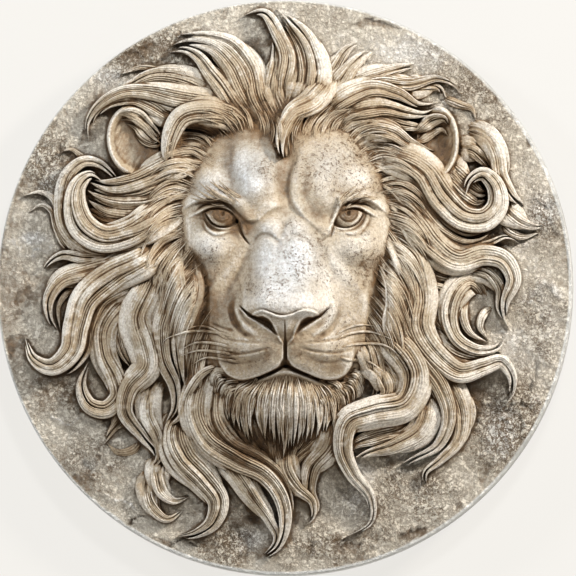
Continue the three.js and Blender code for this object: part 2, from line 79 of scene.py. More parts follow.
# Rounded swellings of the face: column, row, half width, half height, rise.
SWELLS = {
    "left_forehead": (252, 162, 40, 44, 5.5),
    "right_forehead": (326, 162, 42, 46, 5.5),
    "left_brow": (208, 180, 24, 20, 5.0),
    "right_brow": (364, 178, 26, 22, 4.5),
    "left_inner_brow": (258, 190, 28, 28, 5.0),
    "right_inner_brow": (320, 194, 29, 31, 5.0),
    "left_socket": (220, 217, 35, 20, -7.5),
    "right_socket": (350, 217, 35, 20, -7.5),
    "left_bridge_root": (268, 225, 16, 12, 2.6),
    "right_bridge_root": (301, 226, 15, 12, 2.2),
    "muzzle": (286, 325, 84, 66, 16.5),
    "left_pad": (248, 352, 42, 30, 8.6),
    "right_pad": (325, 352, 42, 30, 8.6),
    "left_cheekbone": (211, 247, 31, 23, 6.2),
    "right_cheekbone": (361, 247, 31, 23, 6.2),
    "left_cheek_hollow": (190, 282, 16, 34, -4.5),
    "right_cheek_hollow": (383, 290, 16, 38, -4.0),
    "nose_pad": (286, 327, 17, 18, 4.2),
    "mouth_corner_gap": (286, 364.5, 6, 5.5, -5.0),
    "chin": (286, 402, 60, 36, 7.0),
}

# Ridges and grooves of the face: rise, reach to the left and to the right of the way the line runs, line.
# A short reach makes that side steep, so a brow or a lid stands over what lies beside it.
FOLDS = {
    "forehead_groove": (-3.0, 15, 15, ((287, 138), (287, 166), (286, 186), (287, 207))),
    "left_temple_valley": (-1.4, 15, 12, ((229, 136), (226, 158), (231, 176), (243, 190))),
    "left_brow_edge": (4.2, 15, 4.6, ((180, 210), (190, 203), (201, 199), (213, 197), (224, 199),
        (233, 204), (240, 213), (243, 220))),
    "left_inner_brow_edge": (2.8, 13, 6, ((239, 210), (247, 218), (256, 219), (264, 214), (272, 208),
        (284, 203))),
    "right_inner_brow_edge": (2.8, 13, 5.5, ((297, 166), (293, 182), (294, 198), (301, 211), (309, 219),
        (317, 226), (325, 233))),
    "right_corner_ridge": (3.0, 3.5, 3.5, ((339, 196), (340, 206), (335, 217), (330, 230))),
    "right_brow_edge": (4.2, 15, 4.6, ((333, 219), (338, 209), (345, 202), (355, 197.5), (365, 197.5),
        (375, 202), (383, 208), (390, 213))),
    "left_upper_lid": (3.0, 3.4, 2.3, ((191, 216), (198, 213), (205, 209.5), (212, 207.5), (220, 207.3),
        (228, 209.4), (235, 215), (241, 223), (245, 233))),
    "left_lid_crease": (-1.5, 1.8, 1.8, ((195, 212), (203, 206), (212, 203), (222, 203.5), (230, 207),
        (237, 214))),
    "left_lower_lid": (2.8, 1.6, 2.4, ((205, 213), (208, 220), (213, 225.5), (220, 228.6), (229, 228.6),
        (238, 224))),
    "left_lid_line": (-1.5, 1.2, 1.4, ((203.5, 216), (207, 224), (213, 229.5), (221, 231.8))),
    "left_eye_bag": (1.7, 3, 3.6, ((203, 221), (209, 230), (217, 233.6), (227, 232), (236, 229))),
    "left_bag_line": (-1.2, 2.0, 3.2, ((203, 219), (204.5, 227), (210, 233.5), (216, 237), (223, 236),
        (231, 232.5))),
    "left_tear_line": (-3.0, 1.7, 1.7, ((238, 222), (240.5, 229), (243.5, 236.5), (250, 245))),
    "right_upper_lid": (3.0, 3.4, 2.3, ((334, 224), (338, 216), (344, 210), (353, 207.3), (360, 207.8),
        (368, 211.8), (376, 216.5))),
    "right_lid_crease": (-1.5, 1.8, 1.8, ((341, 208), (349, 203.7), (358, 202.7), (367, 205), (377, 211))),
    "right_lower_lid": (2.8, 1.6, 2.4, ((334, 227.5), (343, 229.5), (351, 228.6), (358.5, 224), (363, 217),
        (364.5, 211))),
    "right_eye_bag": (1.7, 3, 3.6, ((336, 231), (345, 233.6), (354, 232.6), (362, 227.5), (367, 219),
        (368, 212))),
    "right_bag_line": (-1.2, 2.0, 3.2, ((341, 231), (349, 236), (357, 236.6), (363.5, 231.5), (369, 222),
        (370, 214))),
    "right_tear_line": (-2.4, 1.7, 1.7, ((335, 224), (332.5, 231), (331, 238))),
    "right_tear_fold": (-1.0, 1.8, 1.8, ((316, 238), (323, 241), (330, 236))),
    "bridge_wrinkle_left": (-1.7, 3.0, 5.5, ((253, 246), (257, 239.5), (263, 235), (270, 236), (276, 240),
        (281, 245))),
    "bridge_wrinkle_right": (-0.7, 3.0, 5.5, ((286, 241), (292, 236.5), (300, 236.5), (309, 241))),
    "bridge_root_line": (-1.5, 4, 4, ((286, 222), (283, 232), (279, 241))),
    "left_nose_side": (-0.9, 8, 8, ((252, 249), (246, 263), (241, 280), (238, 296))),
    "right_nose_side": (-0.8, 6, 6, ((322, 249), (328, 263), (333, 280), (336, 296))),
    "left_face_edge": (-2.6, 9, 16, ((178, 200), (177, 214), (181, 232), (187, 248), (197, 262), (203, 276),
        (204, 292), (203, 310), (204, 330), (208, 352), (211, 372), (214, 388))),
    "right_face_edge": (-2.4, 16, 9, ((389, 204), (393, 222), (391, 240), (386, 258), (377, 280),
        (373, 300), (371, 320), (371, 345), (366, 366), (360, 384))),
    "left_cheek_fold": (1.8, 12, 8, ((243, 251), (232, 268), (220, 282), (211, 294), (208, 312),
        (211, 328))),
    "right_cheek_fold": (1.3, 8, 12, ((329, 251), (341, 268), (353, 282), (362, 294), (366, 312),
        (364, 328))),
    "left_inner_cheek_line": (-1.1, 5, 5, ((251, 246), (246, 260), (239, 276), (229, 291), (224, 306))),
    "nose_crest_line": (-1.6, 1.4, 1.2, ((253, 313), (259, 310.3), (265, 309.8), (271, 312), (278, 314.6),
        (286, 315.4), (294, 313.4), (302, 310.3), (309, 309.2), (315, 310.6), (321, 314))),
    "nose_rim": (2.6, 1.7, 1.7, ((240.5, 309), (246, 313.5), (252, 316), (258, 313.6), (264, 312.2),
        (270, 314.2), (278, 317.2), (286, 318), (294, 315.8), (302, 312.6), (309, 311.9), (315, 313.4),
        (320, 316.2), (326, 313.8), (331, 309))),
    "left_nose_wing": (3.2, 5, 4, ((237.5, 302), (237, 311), (240.5, 319.5), (247, 328), (257, 335))),
    "right_nose_wing": (3.2, 4, 5, ((334, 302), (335, 311), (331.5, 319.5), (325, 328), (315, 335))),
    "left_wing_groove": (-2.6, 4.5, 4.5, ((231, 308), (234, 321), (242, 332), (254, 340))),
    "right_wing_groove": (-2.2, 4.5, 4.5, ((341, 308), (337, 321), (329, 332), (317, 340))),
    "nose_column_line": (-3.0, 1.3, 1.3, ((286, 321), (286, 332), (286, 344))),
    "left_column_edge": (1.8, 2, 1.6, ((271, 321), (276.5, 330), (280, 339), (284.5, 345))),
    "right_column_edge": (1.8, 1.6, 2, ((301, 321), (296.5, 330), (293.5, 339), (288.5, 345))),
    "philtrum": (-6.5, 2.4, 2.4, ((286, 343), (286, 352), (286, 362))),
    "left_lip": (5.0, 16, 3.4, ((219, 350), (222, 364), (230, 374), (240, 378), (250, 376.8), (260, 373.6),
        (270, 369.4), (278, 364.6), (282.6, 357), (283.6, 348))),
    "right_lip": (5.0, 16, 3.4, ((288.4, 348), (289.4, 357), (294, 364.2), (302, 368.8), (312, 373.2),
        (322, 376.8), (333, 377.8), (343, 374), (350, 364), (353, 350))),
    "mouth": (-4.8, 1.9, 3.0, ((221, 371), (230, 379.8), (241, 382.6), (252, 380.4), (264, 376),
        (276, 370.8), (286, 366), (297, 370.4), (308, 375.2), (321, 380.2), (335, 381.8), (346, 378),
        (354, 369))),
    "left_lower_crease": (-1.1, 2.2, 3, ((270, 348.5), (256, 352.3), (240, 354.4), (220, 352.5))),
    "left_upper_crease": (-1.2, 2.2, 3, ((264, 343.4), (248, 342.6), (234, 341), (219, 336.6))),
    "left_soft_crease": (-0.5, 2.4, 3, ((256, 361), (243, 364), (229, 361))),
    "left_top_crease": (-1.2, 2.4, 3, ((236, 331.5), (225, 329), (213, 324))),
    "right_lower_crease": (-1.1, 3, 2.2, ((302, 348.5), (317, 352.3), (334, 353.4), (352, 350.5))),
    "right_upper_crease": (-1.2, 3, 2.2, ((308, 343.4), (322, 342), (338, 339.6), (354, 335))),
    "right_soft_crease": (-0.5, 3, 2.4, ((314, 361), (328, 363.4), (343, 360.5))),
    "lower_lip": (2.4, 3, 5, ((254, 383), (270, 375.8), (286, 372.4), (302, 375.8), (320, 383))),
}

# The bridge of the nose broadens and rises downwards: row, half width, rise.
BRIDGE = ((198, 28, 0), (214, 30, 1.5), (232, 36, 7.5), (262, 48, 13), (288, 58, 17), (302, 62, 18.5),
    (311, 60, 17), (322, 54, 7), (336, 48, 0))

# Outlines of the two eye openings and the two nostrils.
OPENINGS = {
    "left_eye": ((205.5, 212.8), (210, 211), (217, 210.2), (224, 210.9), (230, 213.3), (235, 217.2),
        (238.8, 222), (235, 225), (229, 227), (223, 227.2), (217, 225.6), (212.4, 222.3), (208.6, 217.6)),
    "right_eye": ((341, 212.8), (347, 211), (353, 210.3), (359, 211.2), (362.8, 213.4), (361, 218),
        (357.6, 222.6), (353, 226), (347, 227.7), (341, 227.8), (336, 226.6), (334.2, 224.4), (337, 217.6)),
    "left_nostril": ((240.2, 305.6), (246, 309.6), (252, 313.6), (258, 316.2), (264, 316), (270, 319.2),
        (275, 324.6), (278, 331), (279.6, 337), (275, 334.6), (269, 330), (262, 325.4), (255, 321),
        (248, 316.6), (243, 311)),
    "right_nostril": ((331.8, 305.6), (326, 309.6), (320, 314), (314, 316.4), (308, 316.6), (303, 320),
        (299, 325.4), (296.6, 331), (294.6, 337), (299, 334), (305, 329.4), (312, 325), (318, 321),
        (324.4, 316.6), (329, 311)),
}

# The eyes: column, row and radius of the ball, then the column and row of the drilled pupil.
EYES = {"left": (222, 217, 17, 223, 213.6), "right": (348, 217, 17, 348.8, 213.2)}
EYE_CROWN = 45.6
EYE_REACH = (24, 20)
IRIS_RADIUS = 9.0
IRIS_RING = 9.2
RING_DEPTH = 0.6
INNER_RING = 5.4
INNER_RING_DEPTH = 0.2
PUPIL_SIZE = (1.9, 3.0)
PUPIL_DEPTH = 3.5
LID_GROOVE = 1.2

# Darkening in an eye, in the grime's colour: painted shade over the ball, darker over the iris and its ring,
# painted shade in the drilled pupil and painted shadow under the upper lid.
BALL_SHADE = 0.24
IRIS_STAIN = 0.26
RING_STAIN = 0.40
PUPIL_SHADE = 1.3
LID_SHADOW = 0.55

# The nostrils: depth, how much deeper each row above the last one makes them, and how many rows count.
NOSTRIL_DEPTH = 6.0
NOSTRIL_DEEPENING = 0.35
NOSTRIL_LOW_ROW = 330
NOSTRIL_ROWS = 12

# The locks of the mane: layer, broadest width, the line from root to tip and, for locks that stay broad to
# the end, their taper. A higher layer lies over lower ones.
LOCKS = {
    "crown_hook": (5, 14, ((284, 116), (282, 86), (287, 58), (279, 36), (264, 12), (242, 14)), 5),
    "crown_inner_hook": (4, 12, ((281, 120), (271, 90), (274, 62), (273, 40), (257, 31))),
    "crown_middle": (4, 15, ((286, 114), (296, 86), (298, 60), (292, 40), (280, 18))),
    "crown_wide": (3, 26, ((290, 116), (309, 94), (315, 68), (308, 42), (292, 22), (276, 7))),
    "forelock": (7, 16, ((322, 56), (328, 80), (314, 99), (292, 113), (282, 132), (281, 150), (287, 169))),
    "sweep_top_1": (3, 18, ((276, 130), (257, 96), (249, 66), (232, 43), (205, 34), (177, 33)), 4),
    "sweep_top_2": (4, 20, ((264, 124), (243, 92), (230, 64), (212, 46), (188, 41), (166, 46))),
    "sweep_top_3": (5, 17, ((256, 128), (228, 98), (212, 74), (198, 56), (182, 48), (164, 51))),
    "sweep_wisp": (1, 8, ((182, 72), (160, 69), (140, 66), (118, 73))),
    "sweep_left_1": (3, 15, ((238, 112), (208, 88), (180, 75), (152, 74), (125, 86), (96, 102))),
    "sweep_left_2": (5, 17, ((248, 120), (215, 104), (180, 97), (150, 91), (122, 91), (98, 104), (86, 122),
        (87, 141))),
    "sweep_left_3": (4, 13, ((196, 118), (170, 116), (150, 106), (132, 98), (112, 101), (96, 114),
        (90, 130))),
    "temple_curl": (8, 19, ((247, 136), (230, 117), (205, 110), (182, 116), (170, 135), (167, 155),
        (175, 174)), 5),
    "west_great_curl": (7, 26, ((186, 202), (160, 215), (132, 232), (103, 238), (82, 225), (74, 202),
        (77, 184), (89, 174), (103, 182)), 6),
    "west_outer_curl": (4, 15, ((186, 214), (150, 237), (118, 249), (86, 246), (66, 228), (61, 200),
        (66, 174), (82, 160), (98, 162), (112, 174), (122, 188)), 6),
    "curl_inner_1": (5, 19, ((212, 160), (186, 158), (160, 169), (136, 181), (108, 185), (84, 178)), 5),
    "curl_inner_2": (3.6, 18, ((196, 178), (166, 186), (140, 196), (110, 197), (82, 186)), 5),
    "curl_inner_3": (3, 18, ((186, 192), (160, 202), (135, 210), (108, 208), (82, 195)), 5),
    "curl_inner_4": (2, 14, ((150, 212), (125, 218), (104, 217), (84, 207)), 5),
    "left_flick_low": (2, 10, ((90, 252), (66, 246), (56, 228), (50, 210), (40, 204), (27, 211))),
    "left_flick_high": (3, 10, ((82, 246), (65, 232), (58, 210), (50, 196), (38, 191), (21, 195))),
    "left_small_hook": (0.8, 9, ((108, 178), (94, 164), (80, 155), (69, 148), (59, 151))),
    "west_band_1": (4, 15, ((166, 224), (142, 243), (115, 256), (85, 258), (60, 255), (44, 266),
        (40, 279))),
    "west_band_2": (5, 18, ((152, 254), (120, 264), (88, 272), (60, 280), (47, 298), (48, 318), (60, 337))),
    "west_band_2_under": (2, 9, ((116, 274), (90, 283), (68, 291), (57, 306), (59, 332))),
    "west_long_hook": (7, 25, ((170, 228), (146, 256), (112, 275), (85, 298), (76, 325), (70, 350),
        (50, 366), (32, 358), (23, 336)), 5),
    "west_long_hook_under": (4, 14, ((160, 264), (130, 284), (101, 300), (90, 325), (84, 352), (63, 373),
        (42, 368))),
    "west_loop": (4, 17, ((148, 284), (120, 304), (103, 328), (104, 354), (114, 378), (117, 396),
        (104, 409), (88, 405), (80, 386), (88, 360)), 6),
    "west_loop_inner": (3, 14, ((152, 290), (132, 306), (118, 328), (121, 350), (134, 372))),
    "cheek_s_lock": (6, 20, ((162, 256), (147, 290), (135, 318), (143, 346), (146, 366), (128, 388),
        (124, 412), (142, 438), (155, 456), (146, 473), (127, 480))),
    "cheek_lock_2": (5, 19, ((176, 232), (168, 268), (170, 300), (161, 330), (163, 360), (174, 386),
        (174, 408), (160, 431))),
    "cheek_lock_3": (4, 17, ((184, 254), (190, 288), (182, 316), (177, 345), (181, 374), (186, 398))),
    "cheek_inner_strand": (5, 14, ((164, 368), (149, 392), (147, 415), (157, 438), (158, 458), (142, 476))),
    "jaw_strand_left": (6, 10, ((226, 365), (204, 372), (188, 394), (180, 416), (161, 431))),
    "lower_fork_1": (4, 14, ((161, 448), (156, 474), (162, 492), (173, 501), (188, 497))),
    "lower_fork_2": (3, 12, ((155, 464), (146, 488), (151, 508), (166, 519), (184, 509))),
    "lower_small_tip": (0.6, 12, ((140, 392), (124, 412), (111, 430), (101, 446))),
    "lower_small_arc": (0.3, 11, ((146, 432), (131, 450), (116, 452), (105, 442))),
    "jaw_long_left": (6, 18, ((208, 362), (198, 386), (194, 414), (207, 443), (236, 462), (264, 475),
        (280, 496), (285, 522), (277, 548), (250, 564)), 4),
    "jaw_long_upper": (5, 17, ((220, 376), (212, 398), (212, 422), (230, 446), (258, 460), (280, 477),
        (290, 502), (289, 528))),
    "jaw_long_twist": (4.8, 15, ((212, 434), (224, 456), (240, 478), (255, 500), (269, 520), (276, 540),
        (258, 561))),
    "lower_great_s": (5, 26, ((186, 404), (174, 432), (182, 458), (202, 480), (217, 502), (212, 523),
        (196, 534), (174, 538))),
    "lower_great_s_edge": (3, 10, ((170, 422), (162, 448), (178, 476), (200, 493), (206, 508))),
    "underbeard_left": (2, 15, ((220, 404), (228, 430), (248, 448), (272, 464), (284, 492))),
    "underbeard_far_left": (1, 17, ((206, 392), (216, 420), (236, 442), (260, 458), (276, 478))),
    "underbeard_middle": (1, 18, ((252, 400), (262, 430), (276, 456), (284, 482))),
    "underbeard_right": (2, 15, ((352, 396), (336, 424), (314, 446), (296, 462), (288, 486))),
    "underbeard_inner_right": (1, 16, ((318, 402), (310, 430), (298, 452), (290, 478))),
    "tail_centre": (4, 13, ((286, 424), (286, 466), (297, 488), (312, 502), (312, 518), (299, 528))),
    "tail_right": (3, 20, ((346, 396), (338, 420), (328, 446), (311, 468), (309, 490), (316, 508),
        (308, 524))),
    "tail_left": (3, 12, ((272, 416), (278, 458), (284, 484), (290, 502))),
    "jaw_great_wave": (7, 24, ((364, 322), (396, 342), (416, 374), (406, 404), (374, 412), (348, 422),
        (342, 448), (352, 474), (370, 498), (370, 522), (341, 540))),
    "jaw_inner_wave": (5, 22, ((358, 352), (380, 368), (390, 392), (374, 408), (350, 416))),
    "jaw_wave_root": (2, 14, ((356, 336), (370, 356), (379, 380), (370, 404))),
    "wave_hollow": (3, 18, ((422, 404), (404, 426), (376, 436), (352, 446), (350, 466))),
    "east_lower_wave": (6, 20, ((384, 250), (399, 278), (402, 304), (400, 328), (418, 356), (440, 386),
        (449, 418), (438, 446), (412, 460), (384, 475))),
    "east_lower_inner": (4, 19, ((414, 372), (429, 402), (420, 430), (394, 446), (366, 454), (346, 466))),
    "east_lower_outer": (4, 14, ((432, 352), (449, 382), (461, 412), (458, 440), (440, 460), (425, 474),
        (428, 489), (441, 494))),
    "east_lower_edge": (2, 10, ((450, 380), (465, 394), (472, 412), (468, 430), (457, 447))),
    "east_wave": (6, 20, ((388, 224), (412, 258), (421, 296), (419, 328), (436, 356), (460, 373),
        (484, 366), (501, 361), (512, 376), (511, 393), (501, 409)), 5),
    "east_wave_upper": (4, 13, ((418, 316), (438, 341), (458, 356), (480, 359), (499, 353), (512, 368))),
    "east_fill_1": (2, 18, ((424, 272), (429, 300), (440, 320), (456, 338))),
    "east_flick": (3, 8, ((418, 268), (434, 284), (447, 288), (455, 299))),
    "east_fill_2": (2, 16, ((412, 252), (430, 268), (450, 275), (472, 272))),
    "shell_outer": (5, 14, ((484, 308), (482, 290), (470, 281), (455, 293), (449, 315), (457, 338),
        (478, 350), (498, 346), (505, 331)), 6),
    "shell_inner": (4, 10, ((478, 296), (468, 298), (463, 314), (470, 332), (488, 342))),
    "shell_hook": (4, 9, ((498, 305), (485, 312), (480, 326), (489, 340))),
    "east_long_s": (7, 20, ((382, 206), (410, 218), (432, 244), (458, 261), (484, 255), (504, 260),
        (514, 279), (506, 302), (506, 318), (511, 331)), 5),
    "east_long_s_inner": (4, 12, ((442, 262), (468, 268), (488, 273), (500, 289), (499, 308), (508, 326))),
    "east_hook_band": (4, 12, ((378, 190), (412, 208), (438, 236), (462, 249), (488, 243), (506, 236),
        (518, 241), (524, 252))),
    "east_under_curl": (5, 18, ((372, 170), (402, 184), (426, 206), (446, 228), (468, 238), (490, 230),
        (503, 212))),
    "east_great_curl": (7, 22, ((364, 152), (398, 158), (424, 172), (442, 198), (464, 218), (485, 219),
        (498, 205), (496, 185), (483, 173), (470, 180), (464, 199)), 6),
    "east_curl_fill": (3.6, 20, ((424, 166), (444, 181), (461, 196), (477, 205), (489, 200)), 6),
    "east_curl_fill_high": (3.2, 16, ((436, 156), (452, 168), (467, 182), (480, 192), (490, 191)), 6),
    "east_curl_fill_low": (3, 14, ((430, 184), (444, 198), (456, 210), (470, 217))),
    "east_outer_lock": (5, 14, ((456, 131), (473, 129), (489, 138), (498, 156), (502, 177), (511, 194),
        (527, 208)), 6),
    "east_outer_flick": (3, 13, ((499, 192), (508, 211), (522, 222), (538, 226), (550, 221))),
    "east_outer_flick_low": (1, 10, ((497, 214), (508, 229), (522, 236), (540, 232))),
    "behind_ear_right": (3, 13, ((452, 148), (472, 150), (485, 161), (493, 174))),
    "behind_ear_right_2": (1, 12, ((440, 166), (454, 170), (468, 180))),
    "right_sweep_top": (3, 15, ((328, 114), (352, 92), (380, 82), (410, 83), (438, 77), (455, 84),
        (463, 96))),
    "right_sweep_1": (5, 17, ((314, 126), (340, 102), (372, 88), (398, 93), (418, 104), (434, 103),
        (441, 97))),
    "right_sweep_2": (6, 16, ((326, 130), (352, 113), (380, 107), (405, 112), (425, 113), (438, 105),
        (440, 98))),
    "right_sweep_3": (4, 13, ((340, 132), (358, 121), (385, 118), (405, 124), (425, 126), (442, 119))),
    "right_sweep_low": (6, 16, ((346, 142), (370, 129), (392, 131), (410, 143), (425, 149), (439, 152))),
    "right_back_1": (2, 20, ((320, 106), (338, 82), (356, 60), (378, 44))),
    "right_back_2": (2, 17, ((334, 102), (354, 84), (380, 72), (405, 66), (426, 62))),
    "right_back_3": (2, 14, ((330, 96), (334, 70), (345, 50), (364, 38))),
    "right_back_hook": (1, 12, ((396, 86), (420, 86), (438, 87), (447, 100))),
    "right_back_tip": (1, 10, ((436, 92), (456, 102), (472, 108), (476, 119))),
}

# Locks whose tips stay high: the rise of the tip.
HIGH_TIPS = {
    "east_great_curl": 13.0,
    "west_great_curl": 6.0,
    "temple_curl": 9.0,
    "forelock": 5.0,
    "shell_outer": 6.0,
}

# Marks on the slab's front, each with a rise, its reach to either side and its line. A reach of about 1 on
# one side makes a ledge there, and on both sides a crack.
GROUND_MARKS = {
    "upper_right_ledge": (-1.7, 1.3, 16, ((560, 240), (541, 236), (520, 239), (505, 247))),
    "upper_right_crack": (-1.6, 1.4, 1.4, ((562, 203), (548, 206), (536, 200), (522, 204))),
    "right_peak": (1.0, 11, 1.3, ((531, 303), (538, 293), (546, 286), (553, 292), (560, 299))),
    "right_flake": (-2.0, 1.3, 11, ((503, 420), (507, 408), (516, 402), (526, 405))),
    "low_right_ledge": (-1.8, 12, 1.3, ((470, 424), (484, 417), (500, 414), (514, 420))),
    "far_right_ledge": (-1.6, 1.3, 14, ((548, 352), (536, 366), (532, 384), (520, 398))),
    "bottom_flake_one": (-1.8, 9, 1.3, ((224, 538), (233, 531), (245, 536), (246, 552), (236, 561))),
    "bottom_flake_two": (1.1, 1.3, 7, ((308, 556), (316, 542), (326, 546))),
    "bottom_flake_three": (1.1, 1.3, 8, ((356, 553), (366, 541), (379, 546))),
    "bottom_right_ledge": (-1.6, 1.3, 10, ((398, 541), (412, 531), (430, 526))),
    "low_left_ledge": (1.3, 1.4, 9, ((95, 490), (108, 497), (122, 501), (137, 509))),
    "low_left_crack": (-1.7, 1.4, 1.6, ((128, 524), (136, 517), (146, 516))),
    "left_arc": (1.5, 1.4, 7, ((48, 412), (58, 422), (70, 424), (80, 414))),
    "left_spall": (-2.4, 9, 9, ((78, 462), (86, 468), (92, 473))),
    "left_bone_ledge": (1.2, 1.4, 9, ((20, 256), (34, 250), (48, 248), (58, 244))),
    "far_left_ledge": (1.1, 1.4, 9, ((3, 243), (12, 240), (22, 249))),
    "upper_left_ledge": (-1.5, 1.4, 12, ((32, 194), (38, 172), (52, 158), (60, 138))),
    "upper_left_crack": (-1.3, 1.3, 1.3, ((118, 62), (132, 50), (150, 44))),
    "top_ledge": (-1.4, 1.4, 10, ((352, 22), (378, 18), (402, 30))),
    "lower_crack": (-1.5, 1.3, 1.3, ((168, 548), (180, 540), (196, 546))),
}

# Layers flaked off the slab's front: level of unevenness past which a layer is gone, depth, size and seed.
FLAKES = ((0.50, 0.8, 46, 31), (0.62, 0.7, 26, 41), (0.55, 0.5, 74, 61))
FLAKE_EDGE = 0.07
MARK_STRENGTH = 1.2

# Worn and pitted patches of the face and of the slab: column, row, half width, half height, strength.
WORN_PATCHES = {
    "left_forehead_pits": (268, 172, 22, 22, 0.9),
    "right_forehead_pits": (338, 164, 60, 44, 1.0),
    "left_cheek_pits": (207, 252, 26, 26, 0.7),
    "right_cheek_pits": (358, 262, 36, 44, 0.9),
    "nose_pits": (270, 290, 34, 22, 1.1),
    "bridge_pits": (310, 262, 36, 58, 0.9),
    "muzzle_pits": (338, 322, 34, 30, 0.6),
    "left_pad_pits": (248, 352, 34, 20, 0.7),
    "right_pad_pits": (325, 352, 34, 20, 0.7),
    "upper_left_crumbs": (142, 50, 64, 36, 1.0),
    "left_crumbs": (44, 160, 28, 48, 1.1),
    "left_lower_crumbs": (58, 395, 34, 26, 0.7),
    "low_left_crumbs": (92, 466, 36, 30, 0.7),
    "low_right_crumbs": (514, 430, 48, 58, 1.3),
    "right_crumbs": (540, 330, 30, 60, 0.7),
    "upper_right_crumbs": (470, 84, 64, 48, 0.8),
    "far_right_crumbs": (545, 222, 28, 42, 0.8),
    "bottom_crumbs": (318, 548, 60, 20, 0.8),
    "bottom_left_crumbs": (228, 548, 32, 24, 1.1),
    "bottom_right_crumbs": (410, 500, 64, 60, 0.7),
}

# Browner and paler areas of the stone, partly stains and partly painted light: painted shade where shadow
# falls, as under the beard and the curls, beside the face, in the eye corners and in the ear hollows, and
# painted light on the areas made paler. Each: column, row, half width, half height, amount of grime and
# painted shade, negative for paler.
PAINTED_LIGHT_AND_STAINS = {
    "left_cheek": (203, 296, 24, 66, 0.66),
    "right_cheek": (370, 276, 17, 50, 0.34),
    "right_ground": (535, 330, 70, 190, -0.22),
    "left_eye_corner": (240, 224, 20, 24, 0.85),
    "left_eye": (220, 217, 24, 13, 0.12),
    "right_eye": (350, 217, 22, 13, 0.10),
    "west_bands": (96, 273, 44, 14, 0.22),
    "left_fur_edge": (188, 272, 12, 28, 0.35),
    "right_inner_corner": (315, 214, 16, 18, 0.32),
    "wave_hollow": (418, 454, 40, 20, -0.62),
    "throat_slit": (254, 506, 12, 24, 0.40),
    "throat_belt": (240, 454, 44, 22, 0.25),
    "left_ear": (126, 136, 36, 40, 0.06),
    "right_behind_ear": (478, 140, 22, 16, 0.30),
    "beside_forelock_left": (262, 116, 26, 42, 0.26),
    "beside_forelock_right": (303, 96, 16, 32, 0.22),
    "right_sweeps": (366, 110, 46, 24, 0.24),
    "under_great_curl": (474, 246, 46, 24, 0.36),
    "east_inner_locks": (404, 296, 18, 40, 0.22),
    "shell": (460, 296, 16, 22, 0.24),
    "east_lower_band": (426, 412, 14, 26, 0.30),
    "right_cheek_edge": (367, 360, 14, 16, 0.22),
    "west_loop_bottom": (98, 410, 28, 14, 0.32),
    "low_left_spall": (87, 465, 24, 18, -0.40),
    "low_right_ground": (500, 430, 34, 50, -0.50),
    "great_wave_inside": (372, 402, 32, 16, -0.30),
    "far_right_patch": (545, 212, 22, 24, -0.45),
    "right_ear_top": (442, 104, 20, 13, -0.42),
    "crown_tip": (286, 16, 26, 16, -0.40),
    "left_patch": (48, 172, 28, 42, -0.30),
    "left_bone_patch": (30, 238, 36, 14, -0.50),
    "wave_inner": (374, 416, 28, 16, -0.30),
    "throat_tip": (246, 540, 28, 22, -0.45),
    "lower_fork": (166, 494, 16, 16, -0.40),
    "white_left": (246, 160, 17, 30, -0.16),
    "white_left_low": (257, 186, 14, 14, -0.20),
    "white_right": (353, 178, 24, 24, -0.20),
    "tan_left": (228, 160, 12, 28, 0.20),
    "tan_middle": (277, 168, 10, 26, 0.16),
    "tan_right": (306, 178, 12, 32, 0.16),
    "upper_left_ground": (80, 110, 90, 90, -0.02),
    "left_nose_wing": (232, 314, 24, 34, 0.42),
    "right_nose_wing": (344, 318, 15, 26, 0.16),
    "nose_tip_left": (262, 314, 28, 15, 0.22),
    "right_inner_brow": (309, 197, 22, 26, 0.20),
    "forehead_middle": (284, 186, 12, 44, 0.14),
    "muzzle": (286, 354, 78, 36, 0.26),
    "left_mouth_corner": (226, 362, 18, 28, 0.30),
    "right_mouth_corner": (338, 370, 18, 13, 0.20),
    "throat_left": (224, 426, 28, 30, 0.50),
    "under_beard": (256, 446, 52, 30, 0.55),
    "left_forehead": (256, 166, 44, 44, 0.12),
    "right_forehead": (330, 166, 46, 46, 0.08),
    "right_muzzle_side": (342, 324, 26, 28, -0.26),
    "left_brow_side": (211, 214, 24, 34, 0.24),
    "right_sweep_gap": (404, 154, 24, 9, 0.34),
    "right_temple_hair": (418, 190, 46, 68, 0.36),
    "right_cheek_hair": (436, 258, 24, 44, 0.34),
    "left_ear_hollow": (146, 148, 17, 18, 0.36),
    "right_ear_hollow": (444, 148, 12, 18, 0.42),
    "crown_left": (226, 118, 100, 56, 0.26),
    "west_gap": (134, 332, 14, 34, 0.18),
    "lower_left_gap": (140, 486, 9, 18, 0.35),
    "left_rim": (6, 260, 30, 130, 0.30),
    "lower_left_ground": (90, 480, 90, 60, 0.12),
    "nose_right": (334, 280, 26, 56, -0.32),
    "beard": (292, 406, 64, 34, -0.40),
    "great_wave": (362, 480, 32, 76, -0.42),
    "east_lower": (438, 426, 30, 46, -0.36),
    "long_jaw_tip": (272, 514, 26, 48, -0.34),
    "left_cheek_lock": (183, 318, 18, 54, -0.38),
    "left_s_lock": (146, 424, 20, 24, -0.28),
    "west_band": (134, 256, 28, 14, -0.28),
    "west_tips": (44, 200, 24, 24, -0.24),
    "crown_left_top": (212, 40, 56, 22, -0.42),
    "crown_middle_top": (308, 34, 22, 30, -0.26),
    "crown_left_tip": (112, 76, 48, 26, -0.42),
    "crown_right": (390, 56, 110, 50, -0.36),
    "far_right": (525, 210, 56, 90, -0.26),
    "east_tips": (505, 355, 60, 50, -0.28),
}

# Areas of the face painted cooler and greyer as painted cool highlight: column, row, half width, half
# height, strength.
COOL_HIGHLIGHT_AREAS = {
    "left_forehead": (250, 172, 48, 52, 1.0),
    "right_forehead": (330, 164, 46, 44, 0.5),
    "left_brow": (208, 190, 28, 24, 0.8),
    "bridge": (286, 268, 56, 70, 1.3),
    "left_cheekbone": (208, 250, 24, 30, 0.4),
}

